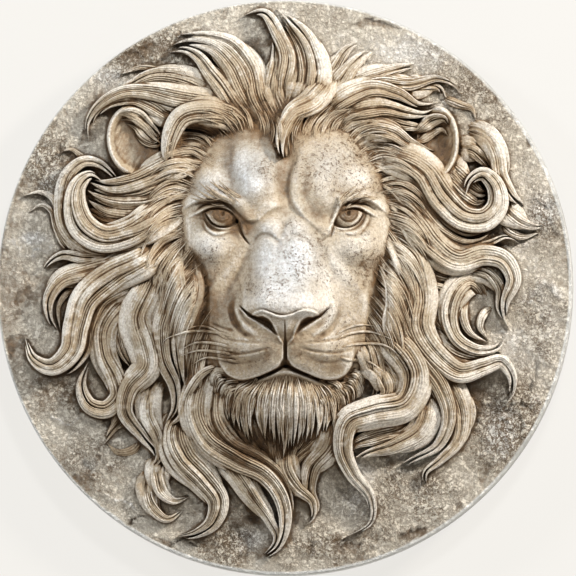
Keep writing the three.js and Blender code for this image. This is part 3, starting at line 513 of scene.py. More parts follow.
# Fine fur from the hairline: count, layer, width, line of the roots, line of the tips, sideways bow.
FURS = {
    "left_brow_fur": (22, 0.30, 5.5, ((250, 136), (234, 136), (219, 146), (207, 162)), ((214, 106),
        (190, 112), (172, 132), (156, 162)), -0.20),
    "left_temple_fur": (24, 0.30, 5.5, ((217, 148), (206, 166), (197, 186), (190, 202)), ((162, 150),
        (148, 178), (142, 202), (138, 226)), -0.22),
    "left_cheek_fur": (24, 0.30, 5.5, ((195, 192), (190, 210), (190, 228), (194, 248)), ((146, 222),
        (140, 250), (144, 280), (158, 306)), -0.16),
    "left_jaw_fur": (30, 0.35, 6, ((193, 236), (203, 262), (211, 288), (214, 330)), ((158, 308), (170, 344),
        (184, 376), (200, 400)), -0.10),
    "right_brow_fur": (22, 0.30, 5.5, ((312, 142), (330, 137), (346, 142), (361, 158)), ((344, 106),
        (368, 112), (388, 130), (406, 156)), 0.20),
    "right_temple_fur": (24, 0.30, 5.5, ((350, 146), (364, 164), (374, 184), (382, 204)), ((402, 150),
        (418, 176), (426, 204), (430, 232)), 0.22),
    "right_cheek_fur": (24, 0.30, 5.5, ((379, 194), (383, 212), (384, 232), (381, 252)), ((426, 226),
        (432, 256), (430, 286), (418, 314)), 0.16),
    "right_jaw_fur": (30, 0.35, 6, ((382, 240), (374, 266), (366, 294), (361, 330)), ((420, 312),
        (410, 348), (398, 376), (380, 398)), 0.10),
    "forehead_left": (13, 0.35, 5.5, ((280, 150), (268, 143), (254, 138), (240, 136)), ((276, 112),
        (262, 104), (244, 100), (222, 102)), -0.10),
    "forehead_right": (14, 0.35, 5.5, ((288, 156), (302, 147), (316, 141), (334, 137)), ((312, 108),
        (326, 100), (340, 100), (360, 108)), 0.14),
}

# Brow hairs: count, layer, width, line of the roots, line of the tips, sideways bow.
BROWS = {
    "left_brow": (11, 0.25, 3.6, ((243, 199), (239, 204), (232, 205), (222, 201)), ((212, 178), (203, 182),
        (196, 190), (190, 199)), 0.06),
    "right_brow": (10, 0.25, 3.6, ((336, 206), (339, 210), (343, 206), (350, 202)), ((352, 188), (364, 188),
        (377, 192), (385, 201)), 0.06),
}

# The beard hangs from a line under the lips down to its hem.
BEARD_ROOTS = ((227, 378), (233, 383), (242, 386), (253, 384), (265, 379.5), (276, 376), (286, 374.5),
    (297, 376), (308, 379.5), (321, 384), (334, 386), (344, 382), (350, 375))
BEARD_TIPS = ((215, 391), (221, 409), (228, 427), (243, 439), (256, 440), (269, 445), (287, 457),
    (303, 448), (319, 440), (337, 429), (347, 419), (355, 402), (362, 386))

# The ears: centre column and row, half width, half height, tilt, and the way that the cup opens, in degrees.
EARS = {
    "left_ear": (133, 140, 27, 36, -10, 15),
    "right_ear_cup": (437, 142, 22, 37, 2, 180),
}

# An ear's bowl, in millimetres: height of its floor, rise of its side and power of that rise, height of its
# lip and drop outside the lip. The lip's place and half width are shares of the way out from the middle.
EAR_FLOOR = 3.5
EAR_RISE = 10.5
EAR_CURVE = 1.7
EAR_LIP = 2.2
EAR_LIP_PLACE = 0.86
EAR_LIP_WIDTH = 0.18
EAR_DROP = 6
EAR_RINGS = 39
EAR_SECTORS = 180

# Tufts of hair inside the ears: layer, width, line from root to tip.
EAR_TUFTS = (
    (1.6, 12, ((115, 115), (126, 112), (139, 116), (151, 127), (163, 142))),
    (2.2, 9, ((120, 119), (132, 118), (143, 125), (152, 136), (162, 144))),
    (1.2, 9, ((124, 122), (135, 127), (143, 136), (153, 141), (162, 134))),
    (0.8, 7, ((128, 127), (137, 135), (146, 143), (157, 145), (163, 140))),
    (1.8, 13, ((412, 134), (424, 126), (434, 119), (444, 118), (449, 125))),
    (1.0, 11, ((410, 142), (422, 139), (433, 132), (442, 129), (448, 135))),
)

# The whiskers, each from its root to its tip.
WHISKERS = (
    ((236, 338), (218, 333), (198, 331), (180, 334), (165, 340), (162, 347)),
    ((232, 343), (214, 330), (200, 326), (185, 330)),
    ((236, 350), (222, 345), (195, 343), (178, 352)),
    ((238, 356), (218, 352), (196, 351), (178, 357)),
    ((244, 363), (225, 360), (205, 358), (190, 366)),
    ((334, 342), (350, 334), (370, 332), (396, 341)),
    ((338, 348), (360, 344), (386, 346), (406, 362)),
    ((336, 356), (350, 360), (367, 361), (386, 373)),
    ((332, 338), (346, 329), (362, 325), (380, 327)),
)

# How far the beard's hem stands clear of what lies under it, and the rows over which it comes to do so.
BEARD_OVERHANG = 12.0
OVERHANG_ROWS = (396, 432)

# Rows of the beard's locks: how many, layer, width, share of the way to the hem.
BEARD_ROWS = ((11, 0.2, 20, 0.84), (24, 1.2, 9.0, 1.0), (36, 2.0, 5.6, 0.93))

# How the locks of each kind are swept, and the seed of the first of them.
UNDER_MANE = {
    "hair_width": 3.8, "samples": 2, "step": 3.4, "crown": 0.8, "reach": 0.80, "tip": 0.5,
    "root_width": 0.8, "bundle_width": 14,
}
FUR = {
    "hair_width": 2.4, "samples": 3, "step": 3.2, "crown": 0.55, "hair": 1.15, "tip": -2.5,
    "root_length": 26, "root_rise": -0.9,
}
BROW_HAIR = {
    "hair_width": 1.9, "samples": 3, "step": 2.0, "crown": 0.45, "tip": -0.4, "root_length": 9,
    "root_rise": -0.5,
}
BEARD_HAIR = {
    "hair_width": 2.4, "samples": 3, "step": 2.4, "crown": 1.0, "hair": 1.3, "tip": 0.6,
    "root_width": 0.75, "root_length": 22, "root_rise": -0.6,
}
TUFT = {
    "root_length": 20, "root_rise": 0.0, "root_width": 0.12, "tip": 0.5,
}
WHISKER = {
    "hair_width": 3, "samples": 6, "step": 1.8, "hair": 0.1, "tip": 0.3, "root_length": 12,
    "root_rise": -0.8,
}
WHISKER_LAYER = 0.4
WHISKER_WIDTH = 3.0
FIRST_SEEDS = {"under_mane": 500, "fur": 1000, "brow": 2500, "beard": 3000, "tuft": 4000, "whisker": 5000}
SEEDS_A_FAN = 100
BROW_FAN_SEED = 50
BEARD_SEED = 7

# The bow of the beard's outermost locks, and how unevenly the bows of the fur and of the beard are spread.
BEARD_BOW = 0.34
FUR_BOW_SPREAD = 0.06
BEARD_BOW_SPREAD = 0.05

# A lock this broad has a broader and lower one under it.
BROAD_LOCK = 12
UNDER_MANE_OVERLAP = 12
LOCK_TAPER = 3.0

# How the hairs of a lock are carved: chance that a new bundle starts, depth of the grooves inside a bundle,
# how far single hairs and bundles rise and sink, the sideways sway, and the strength of it all.
NEW_BUNDLE_CHANCE = 0.36
INNER_GROOVE = 0.42
HAIR_SWAY = 0.30
BUNDLE_SWAY = 0.65
SIDE_SWAY = 0.14
HAIR_DEPTH = 1.5

# A lock's section is 1 - (1 - |u|^SECTION_POWER)^SECTION_ROUNDING below its crown at a share u of its half
# width. Bundles are wider and higher than their share of it, and an outer one may end before the tip.
SECTION_POWER = 2.3
SECTION_ROUNDING = 0.6
BUNDLE_OVERLAP = 1.28
BUNDLE_CROWN = 1.15
EARLY_END = 0.48

# The least half width of a lock, how near its middle a bundle always reaches the tip, as a share of its half
# width, how far a bundle and a lock of one bundle rise and sink, and the fewest sections of either.
LEAST_HALF = 0.02
MIDDLE_BUNDLES = 0.35
BUNDLE_HEAVE = 0.55
LONE_HEAVE = 0.1
FEWEST_SECTIONS = 5

# Fineness of the face's grid in squares and of the slab's rings and sectors.
FACE_STEP = 0.95
SLAB_SECTORS = 940
SLAB_RINGS = 84
INNER_REACH = 165
INNER_RINGS = 8

# Unevenness of the stone: strength in millimetres, size in squares, seed and number of layers.
GROUND_WAVES = ((0.5, 70, 11, 3), (0.14, 8, 21, 3))
GROUND_GRIT = ((0.16, 3.6, 25, 1),)
CRUMB_DENTS = ((0.45, 12, 29, 2),)
SKIN_DENTS = ((0.40, 24, 71, 3), (0.12, 5.5, 81, 2))

# Crumbs in the worn patches of the slab: rise, depth of the gaps between them and a power that sharpens the
# gaps. Then the depth of the skin's pits, how far the marks wander and how far the face's edge drops.
CRUMB_RISE = 0.55
CRUMB_GAP = 2.2
GAP_SHARPNESS = 0.7
PIT_DEPTH = 0.40
MARK_WANDER = 2.6
FACE_EDGE_DROP = 2.5

# How strongly the hollows show as grime with painted shade and the crests as rubbing with painted highlight,
# on the slab, the face, the mane and the whiskers. The face's wear also pales what stands far out, as wear
# with painted highlight, and the ground is greyer by its own tone.
SLAB_SHADE_AND_GRIME = 0.4
FACE_SHADE_AND_GRIME = 0.56
FACE_WEAR_AND_HIGHLIGHT = 0.62
MANE_STAIN = 0.10
WHISKER_SHADE_AND_GRIME = 0.35
WHISKER_RUBBING_AND_HIGHLIGHT = 2.2
GROUND_COOLNESS = 0.35

# Reaches, in squares, over which the whole relief is softened to find hollows and crests: hollows are
# painted darker as grime and painted shade, crests paler as rubbing and painted highlight. A hollow's terms,
# one for each reach: weight, full depth, least and most. A crest's, for the first two: weight, full height.
HOLLOW_REACHES = (1.3, 3.8, 9.0)
HOLLOW_TERMS = ((0.62, 0.8, -0.3, 1.3), (0.52, 3.4, -0.3, 1), (0.45, 10, -0.2, 1))
CREST_TERMS = ((0.65, 0.9), (0.35, 6.0))
STAIN_DULLS = 1.6

# Reaches, in squares, over which the relief is softened under what lies on it.
UNDER_BEARD = 3.0
UNDER_FUR = 2.6
FUR_FILL = 2.0
UNDER_TUFTS = 1.6
UNDER_WHISKERS = 1.2

# Colours of the stone, linear. The rubbed stone is also the painted highlight on crests. The light and dark
# grime are also the painted shade in hollows. The cool stone and the cool cast are the painted cool
# highlight of the face and the greyer tone of the ground.
WARM_STONE = (0.450, 0.375, 0.280, 1)
PALE_STONE = (0.560, 0.510, 0.430, 1)
GREY_STONE = (0.400, 0.380, 0.340, 1)
RUBBED_AND_HIGHLIT_STONE = (0.87, 0.87, 0.86, 1)
LIGHT_GRIME_AND_SHADE = (0.190, 0.118, 0.060, 1)
DARK_GRIME_AND_SHADE = (0.060, 0.034, 0.016, 1)
PIT_GRIME = (0.150, 0.092, 0.046, 1)
CLEAN_PLASTER = (0.84, 0.83, 0.79, 1)
COOL_LIGHT_AND_GREY_STONE = (0.600, 0.615, 0.610, 1)
GROUND_STONE = (0.880, 0.840, 0.755, 1)
CHIPPED_STONE = (0.240, 0.180, 0.120, 1)
WARM_CAST = (1.0, 0.95, 0.87, 1)
COOL_LIGHT_AND_GREY_CAST = (0.98, 1.0, 1.03, 1)

# Noises of the stone: scale, detail, roughness.
NOISES = {
    "blotches": (11, 5, 0.62),
    "clouds": (34, 6, 0.66),
    "grime_reach": (75, 5, 0.65),
    "flakes": (95, 5, 0.60),
    "crumbs": (230, 5, 0.7),
    "broken": (270, 5, 0.72),
    "grit": (480, 4, 0.75),
    "specks": (620, 3, 0.65),
}
BUMP_STRENGTH = 0.75
BUMP_DISTANCE = 0.0018
STONE_ROUGHNESS = 0.48
STONE_SHINE = 0.40

# The backdrop and the light, in metres and watts. Each lamp: colour, power, place.
WALL_COLOUR = (0.90, 0.88, 0.84, 1)
WALL_PAINT = (0.11, 0.107, 0.103, 1)
WALL_GLOW = 0.72
WALL_PLACE = 0.004
WALL_TOP = 2.5
FLOOR_LEVEL = -1.5
STUDIO_REACH = 3
SKY_COLOUR = (0.86, 0.90, 1.0, 1)
SKY_STRENGTH = 0.12
LAMP_SIZE = 0.28
LAMPS = {
    "front_key": ((0.96, 0.98, 1.0), 23.5, (0.40, -1.80, 1.30)),
    "left_side": ((0.90, 0.95, 1.0), 17, (-1.45, -0.90, 0.95)),
    "right_side": ((1.0, 0.93, 0.84), 32, (1.35, -0.90, 1.00)),
}

# The camera: a long lens, in millimetres, turned a little to the right and down, in degrees, and what it is
# aimed at, in metres in front of the wall.
PICTURE_WIDTH = 576
LENS = 600
SENSOR_WIDTH = 36
CLIP_END = 100
CAMERA_RIGHT = 1.0
CAMERA_LOW = 1.0
AIM_DEPTH = -0.05


def ease(start, end, value):
    """Rises smoothly from 0 at start to 1 at end: 3t squared less 2t cubed."""
    t = np.clip((value - start) / (end - start), 0, 1)
    return t * t * (3 - 2 * t)


def bell(distance):
    """1 at the middle, 0 from a distance of 1 outwards on either side, as a raised cosine."""
    return 0.5 + 0.5 * np.cos(np.pi * np.clip(np.abs(distance), 0, 1))


def course_through(line, step=1.5):
    """A centripetal Catmull-Rom curve through the points of a line, sampled about every step squares."""
    points = np.array(line, float)
    padded = np.vstack([2 * points[0] - points[1], points, 2 * points[-1] - points[-2]])
    stretches = []
    for p0, p1, p2, p3 in zip(padded[:-3], padded[1:-2], padded[2:-1], padded[3:]):
        t1 = math.hypot(*(p1 - p0)) ** 0.5
        t2 = t1 + math.hypot(*(p2 - p1)) ** 0.5
        t3 = t2 + math.hypot(*(p3 - p2)) ** 0.5
        count = max(2, int(round(math.hypot(*(p2 - p1)) / step)))
        t = np.linspace(t1, t2, count, endpoint=False)[:, None]
        a1 = ((t1 - t) * p0 + t * p1) / t1
        a2 = ((t2 - t) * p1 + (t - t1) * p2) / (t2 - t1)
        a3 = ((t3 - t) * p2 + (t - t2) * p3) / (t3 - t2)
        b1 = ((t2 - t) * a1 + t * a2) / t2
        b2 = ((t3 - t) * a2 + (t - t1) * a3) / (t3 - t1)
        stretches.append(((t2 - t) * b1 + (t - t1) * b2) / (t2 - t1))
    return np.vstack([*stretches, points[-1:]])


def beside(course, column, row):
    """For every place: its distance from the course, the side it lies on and its share of the way along."""
    runs = np.diff(course, axis=0)
    lengths = np.hypot(*runs.T)
    travelled = np.concatenate([[0], np.cumsum(lengths)]) / lengths.sum()
    nearest = np.full(column.shape, np.inf)
    side = np.zeros(column.shape)
    along = np.zeros(column.shape)
    for (x, y), (dx, dy), length, before, after in zip(course, runs, lengths, travelled, travelled[1:]):
        share = np.clip(((column - x) * dx + (row - y) * dy) / length ** 2, 0, 1)
        across, down = column - x - share * dx, row - y - share * dy
        distance = np.hypot(across, down)
        closer = distance < nearest
        nearest = np.where(closer, distance, nearest)
        side = np.where(closer, (dx * down - dy * across) / length, side)
        along = np.where(closer, before + share * (after - before), along)
    return nearest, side, along


def around(column, row, low, high):
    """True where a place lies between two corners."""
    return (column > low[0]) & (column < high[0]) & (row > low[1]) & (row < high[1])


def off_centre(area, column, row):
    """Distance from the middle of an ellipse given as column, row, half width and half height: 1 on its
    edge."""
    middle_column, middle_row, half_width, half_height = area[:4]
    return np.hypot((column - middle_column) / half_width, (row - middle_row) / half_height)


def fold_rise(fold, column, row):
    """A ridge or groove: its rise times a bell of the distance over the reach of that side, lower at both
    ends."""
    rise, left_reach, right_reach, line = fold
    points = np.array(line)
    reach = max(left_reach, right_reach)
    near = around(column, row, points.min(axis=0) - reach, points.max(axis=0) + reach)
    distance, side, along = beside(course_through(line, 2.5), column[near], row[near])
    blend = ease(-0.15, 0.15, side / (left_reach + right_reach))
    ends = np.clip(1.6 * np.sin(np.pi * np.clip(along, 0, 1)), 0, 1)
    result = np.zeros(column.shape)
    own_reach = left_reach + (right_reach - left_reach) * blend
    result[near] = rise * (0.3 + 0.7 * ends) * bell(distance / own_reach)
    return result


def swell_rise(swell, column, row):
    """A rounded swelling: its rise times the square of one less the squared distance from its middle."""
    return swell[-1] * np.clip(1 - off_centre(swell, column, row) ** 2, 0, 1) ** 2


def mound_rise(column, row):
    """The mound under the mane: full under the face and falling to nothing at its own edge."""
    return MANE_RISE * (1 - ease(0.33, 1, off_centre(MOUND, column, row)))


def carrier_rise(column, row):
    """What the mane lies on: the mound, and the dome of the head that swells out of it."""
    dome = np.clip(1 - off_centre(DOME, column, row) ** 2, 0, 1) ** 0.75
    return mound_rise(column, row) + HEAD_RISE * dome


def bridge_rise(column, row):
    """The bridge of the nose: half width and rise follow the row, with a flat middle and bell shoulders."""
    rows, half_widths, rises = np.array(BRIDGE).T
    fine = np.linspace(rows[0], rows[-1], 200)
    soften = np.hanning(25) / np.hanning(25).sum()
    half_width, rise = (
        np.interp(row, fine, np.convolve(np.pad(np.interp(fine, rows, values), 12, "edge"), soften, "valid"))
        for values in (half_widths, rises)
    )
    return rise * bell(np.maximum(0, (np.abs(column - MIDDLE_OF_FACE) / half_width - 0.25) / 0.75))


def inside(outline, column, row):
    """Signed distance from a closed outline, positive inside it."""
    corners = np.array(outline, float)
    closed = course_through(np.vstack([corners, corners[:1]]), 1.0)
    distance, _, _ = beside(closed, column, row)
    crossings = np.zeros(column.shape, int)
    for (x0, y0), (x1, y1) in zip(closed, np.roll(closed, -1, axis=0)):
        if y0 != y1:
            meets = x0 + (row - y0) * (x1 - x0) / (y1 - y0)
            crossings += ((row < y0) != (row < y1)) & (column < meets)
    return np.where(crossings % 2 == 1, distance, -distance)


def round_eye(name, column, row):
    """True at the places near an eye."""
    middle = np.array(EYES[name][:2])
    return around(column, row, middle - EYE_REACH, middle + EYE_REACH)


def eye_rise(skin, name, column, row):
    """The ball of an eye set in its opening: a sphere below the lids, ringed round the iris, with a drilled
    pupil."""
    middle_column, middle_row, radius, pupil_column, pupil_row = EYES[name]
    near = round_eye(name, column, row)
    x, y, under = column[near], row[near], skin[near]
    opening = inside(OPENINGS[name + "_eye"], x, y)
    from_middle = np.hypot(x - middle_column, y - middle_row)
    ball = np.sqrt(np.clip(radius ** 2 - from_middle ** 2, 0, None)) * SQUARE / MM
    crown = EYE_CROWN + ball - radius * SQUARE / MM
    from_pupil = np.hypot(x - pupil_column, y - pupil_row)
    rings = RING_DEPTH * bell((from_pupil - IRIS_RING) / 1.1)
    rings += INNER_RING_DEPTH * bell(from_pupil - INNER_RING)
    pupil = off_centre((pupil_column, pupil_row, *PUPIL_SIZE), x, y)
    carving = -rings - PUPIL_DEPTH * (1 - ease(0.6, 1.25, pupil))
    blend = ease(-0.5, 0.7, opening)
    lined = under - LID_GROOVE * bell(opening / 1.2)
    result = skin.copy()
    result[near] = lined * (1 - blend) + (crown + carving) * blend
    return result


def nostril_rise(skin, name, column, row):
    """A nostril: the skin cut down inside its outline, deepest along the upper edge."""
    outline = np.array(OPENINGS[name])
    near = around(column, row, outline.min(axis=0) - 3, outline.max(axis=0) + 3)
    depth = inside(OPENINGS[name], column[near], row[near])
    shade = NOSTRIL_DEPTH + NOSTRIL_DEEPENING * np.clip(NOSTRIL_LOW_ROW - row[near], 0, NOSTRIL_ROWS)
    result = skin.copy()
    result[near] = skin[near] - shade * ease(-0.4, 3.4, depth)
    return result


def face_rise(column, row):
    """The whole face: mound, dome and bridge, all swellings and folds, then eyes and nostrils cut in."""
    rise = carrier_rise(column, row) + bridge_rise(column, row)
    for swell in SWELLS.values():
        rise += swell_rise(swell, column, row)
    for fold in FOLDS.values():
        rise += fold_rise(fold, column, row)
    for name in EYES:
        rise = eye_rise(rise, name, column, row)
    for name in ("left_nostril", "right_nostril"):
        rise = nostril_rise(rise, name, column, row)
    return rise - FACE_EDGE_DROP * ease(0.8, 1, off_centre(DOME, column, row))


def wander(generator, count, bends, size):
    """A seeded smooth wave along a lock: random values at a few bends, joined by cosine steps."""
    knots = generator.uniform(-size, size, bends + 2)
    place = np.linspace(0, bends + 1 - 1e-6, count)
    start = place.astype(int)
    share = 0.5 - 0.5 * np.cos(np.pi * (place - start))
    return knots[start] * (1 - share) + knots[start + 1] * share


def hair_relief(generator, sections, hairs, samples):
    """Relief in millimetres of the hairs that run side by side along a lock, one column of the grid for
    each of the samples of a hair. A hair is a rounded ridge, (4t(1 - t))^0.6 over its own width, between
    two grooves. Hairs lie in bundles of two to four, parted by deeper grooves, and each rises and sinks
    slowly."""
    number = np.arange(hairs * samples + 1) / samples
    hair = np.minimum(number.astype(int), hairs - 1)
    share = number - hair
    share[-1] = 1.0
    bundle = np.cumsum(generator.uniform(0, 1, hairs + 1) < NEW_BUNDLE_CHANCE)
    parted = np.concatenate([[True], np.diff(bundle[:hairs]) > 0, [True]])
    depth = np.where(parted, 1.0, INNER_GROOVE)
    level = np.stack([wander(generator, sections, 4, HAIR_SWAY) for _ in range(hairs)], axis=1)
    bundles = range(bundle.max() + 1)
    bundle_level = np.stack([wander(generator, sections, 3, BUNDLE_SWAY) for _ in bundles], axis=1)
    level = level + bundle_level[:, bundle[:hairs]]
    ridge = (4 * share * (1 - share)) ** 0.6
    side_depth = np.where(share < 0.5, depth[hair], depth[hair + 1])
    relief = level[:, hair] - side_depth * (1 - ridge)
    grooves = np.arange(1, hairs) * samples
    relief[:, grooves] = np.minimum(level[:, :-1], level[:, 1:]) - depth[1:hairs]
    return relief


def swept(course, half, lift, crown, generator, ground, hairs, samples=4, hair=1.0):
    """A grid swept along a course. Across it, at a share u from -1 to 1 of its half width, the height is the
    lift less the crown times 1 - (1 - |u|^2.3)^0.6, with hairs cut in, on top of the ground."""
    way = np.gradient(course, axis=0)
    way /= np.maximum(np.hypot(*way.T)[:, None], 1e-6)
    sections = len(course)
    across = 2 * np.arange(hairs * samples + 1)[None, :] / (hairs * samples) - 1
    across = across + (1 - across ** 2) * wander(generator, sections, 4, SIDE_SWAY)[:, None]
    column = course[:, :1] - way[:, 1:] * half * across
    row = course[:, 1:] + way[:, :1] * half * across
    profile = np.clip(1 - np.abs(across) ** SECTION_POWER, 0, 1) ** SECTION_ROUNDING
    relief = hair_relief(generator, sections, hairs, samples)
    relief = HAIR_DEPTH * hair * relief * np.minimum(1, half / (0.6 * half.max())) * (0.4 + 0.6 * profile)
    body = crown * np.minimum(1, half / (0.7 * half.max()))
    rise = ground(column, row) + lift - body * (1 - profile) + relief
    return column, row, rise


def lock(line, layer, width, seed, ground, bundle_width=8.0, hair_width=2.7, samples=4, step=2.2,
         crown=1.0, hair=1.0, tip=TIP_RISE, root_width=0.6, root_length=50, root_rise=-3.0, reach=1.0,
         taper=LOCK_TAPER):
    """A lock of hair as a few bundles side by side, each a swept grid of its own. The lock's width swells
    from the root and then tapers as (1 - v^taper)^0.8; its rise climbs from the root and falls towards the
    tip. A bundle keeps its share of the width, rides on the lock's rounded crown and comes to its own point
    near the tip."""
    generator = np.random.default_rng(seed)
    course = course_through(line, step)
    course = course[:max(FEWEST_SECTIONS, int(reach * len(course)))]
    way = np.gradient(course, axis=0)
    way /= np.hypot(*way.T)[:, None]
    steps = np.hypot(*np.diff(course, axis=0).T)
    along = (np.concatenate([[0], np.cumsum(steps)]) / steps.sum())[:, None]
    start = ease(0, min(0.45, root_length / steps.sum()), along)
    half = 0.5 * width * (root_width + (1 - root_width) * start) * np.clip(1 - along ** taper, 0, 1) ** 0.8
    half = np.maximum(half, LEAST_HALF)
    crown_rise = LOCK_CROWN * width * SQUARE / MM
    count = max(1, int(round(width / bundle_width)))
    alone = count == 1
    shares = generator.uniform(0.65, 1.35, count)
    edges = np.concatenate([[0], np.cumsum(shares)]) / shares.sum() * 2 - 1
    grids = []
    for i in generator.permutation(count):
        middle = 0.5 * (edges[i] + edges[i + 1])
        wide = 0.5 * (edges[i + 1] - edges[i]) * (1.0 if alone else BUNDLE_OVERLAP)
        aside = middle + (0 if alone else 1) * wander(generator, len(course), 4, SIDE_SWAY)[:, None]
        whole = alone or abs(middle) < MIDDLE_BUNDLES
        end = 1.0 if whole else generator.uniform(1 - EARLY_END / taper, 1.0)
        stretch = max(FEWEST_SECTIONS, int(end * len(course)))
        own = np.clip(1 - (along[:stretch] / along[stretch - 1]) ** (taper + 2), 0, 1) ** 0.7
        normal = np.stack([-way[:stretch, 1], way[:stretch, 0]], axis=1)
        side_course = course[:stretch] + normal * aside[:stretch] * half[:stretch]
        own_half = np.maximum(half[:stretch] * wide * own, LEAST_HALF)
        from_crest = np.abs(np.clip(aside[:stretch], -1, 1))
        rounded = crown_rise * (1 - from_crest ** SECTION_POWER) ** SECTION_ROUNDING
        own_crown = crown * LOCK_CROWN * SQUARE / MM * width * wide * BUNDLE_CROWN
        heave = wander(generator, stretch, 4, LONE_HEAVE if alone else BUNDLE_HEAVE)[:, None]
        full = LAYER_RISE * layer + rounded + heave
        lift = full + (tip - full) * along[:stretch] ** (1.3 * taper)
        lift = root_rise + (lift - root_rise) * start[:stretch]
        hairs = max(2, int(round(width * wide / hair_width)))
        grids.append(swept(side_course, own_half, lift, own_crown, generator, ground, hairs, samples, hair))
    return grids


SHEET_SIZE = 576
LATTICE = 64
SHEET_COLUMNS, SHEET_ROWS = np.meshgrid(np.arange(float(SHEET_SIZE)), np.arange(float(SHEET_SIZE)))


def read_sheet(sheet, column, row):
    """The rise at any place of a sheet, which holds one rise for each square, read straight between its four
    nearest squares."""
    x = np.clip(column, 0, SHEET_SIZE - 1.001)
    y = np.clip(row, 0, SHEET_SIZE - 1.001)
    i, j = x.astype(int), y.astype(int)
    s, t = x - i, y - j
    upper = sheet[j, i] * (1 - s) + sheet[j, i + 1] * s
    lower = sheet[j + 1, i] * (1 - s) + sheet[j + 1, i + 1] * s
    return upper * (1 - t) + lower * t


def softened(sheet, reach):
    """A sheet blurred by a Gaussian of that reach, through its Fourier transform."""
    margin = 48
    padded = np.pad(sheet, margin, "edge")
    down = np.fft.fftfreq(padded.shape[0])[:, None]
    across = np.fft.rfftfreq(padded.shape[1])[None, :]
    weight = np.exp(-2 * (np.pi * reach) ** 2 * (down ** 2 + across ** 2))
    return np.fft.irfft2(np.fft.rfft2(padded) * weight, s=padded.shape)[margin:-margin, margin:-margin]


def lay_on(sheet, column, row, rise):
    """Raises a sheet to the highest point that a piece puts over each of its squares."""
    for part in (slice(None), slice(1, None)):
        x, y, z = (0.5 * (grid[part] + grid[:len(grid[part])]) for grid in (column, row, rise))
        i, j = np.rint(x).astype(int), np.rint(y).astype(int)
        held = (i >= 0) & (i < SHEET_SIZE) & (j >= 0) & (j < SHEET_SIZE)
        np.maximum.at(sheet, (j[held], i[held]), z[held])


def grain(column, row, size, seed, layers=3):
    """Smooth seeded unevenness from about -1 to 1: random values a size apart, joined smoothly, with finer
    layers of half the size and half the strength added."""
    total, strength, whole = 0, 1.0, 0
    for layer in range(layers):
        lattice = np.random.default_rng(seed + layer).uniform(-1, 1, (LATTICE, LATTICE))
        turn, finer = 0.6 + 1.1 * layer, 2 ** layer / size
        x = finer * (math.cos(turn) * column - math.sin(turn) * row) + 7.3 * layer
        y = finer * (math.sin(turn) * column + math.cos(turn) * row) + 3.1 * layer
        i, j = np.floor(x).astype(int), np.floor(y).astype(int)
        s, t = ease(0, 1, x - i), ease(0, 1, y - j)
        i, j, next_i, next_j = (place % LATTICE for place in (i, j, i + 1, j + 1))
        value = (lattice[j, i] * (1 - s) + lattice[j, next_i] * s) * (1 - t)
        value += (lattice[next_j, i] * (1 - s) + lattice[next_j, next_i] * s) * t
        total = total + strength * value
        whole += strength
        strength *= 0.5
    return 1.7 * total / whole


def uneven(waves, column, row):
    """The sum of some grains, each times its strength."""
    total = np.zeros(column.shape)
    for strength, size, seed, layers in waves:
        total += strength * grain(column, row, size, seed, layers)
    return total


def worn_share(column, row):
    """How worn each place is, from 0 to about 1: the patches, strongest in their middles, with an uneven
    edge, and a little all over."""
    share = np.zeros(column.shape)
    for patch in WORN_PATCHES.values():
        share = np.maximum(share, patch[-1] * np.clip(1.25 - off_centre(patch, column, row), 0, 1))
    return np.clip(share + 0.30 * grain(column, row, 14, 141, 3), 0, 1.3)


def summed(areas, column, row):
    """The sum of the areas' bells, each times the last of its values."""
    total = np.zeros(column.shape)
    for area in areas.values():
        total += area[-1] * bell(off_centre(area, column, row))
    return total


def ground_rise(column, row):
    """The slab's worn front: gentle waves, crumbly patches, thin layers flaked off with sharp edges, ledges
    and cracks."""
    rise = uneven(GROUND_WAVES, column, row)
    crumbly = ease(0.15, 0.9, worn_share(column, row))
    crumbs = 1 - CRUMB_GAP * np.abs(grain(column, row, 6.0, 27, 2)) ** GAP_SHARPNESS
    rise += crumbly * (CRUMB_RISE * crumbs + uneven(CRUMB_DENTS, column, row))
    rise += uneven(GROUND_GRIT, column, row)
    for level, depth, size, seed in FLAKES:
        edge = grain(column, row, size, seed, 5)
        rise -= depth * ease(level, level + FLAKE_EDGE, edge)
    shifted_column = column + MARK_WANDER * grain(column, row, 7, 121, 3)
    shifted_row = row + MARK_WANDER * grain(column, row, 7, 131, 3)
    for mark in GROUND_MARKS.values():
        rise += MARK_STRENGTH * fold_rise(mark, shifted_column, shifted_row)
    return rise


def in_place(column, row, rise):
    """Points in metres from columns, rows and rises."""
    x = (column - CENTRE_COLUMN) * SQUARE
    y = -(SLAB_THICKNESS + rise) * MM
    z = (CENTRE_ROW - row) * SQUARE
    return np.stack([x, y, z], axis=-1).reshape(-1, 3)


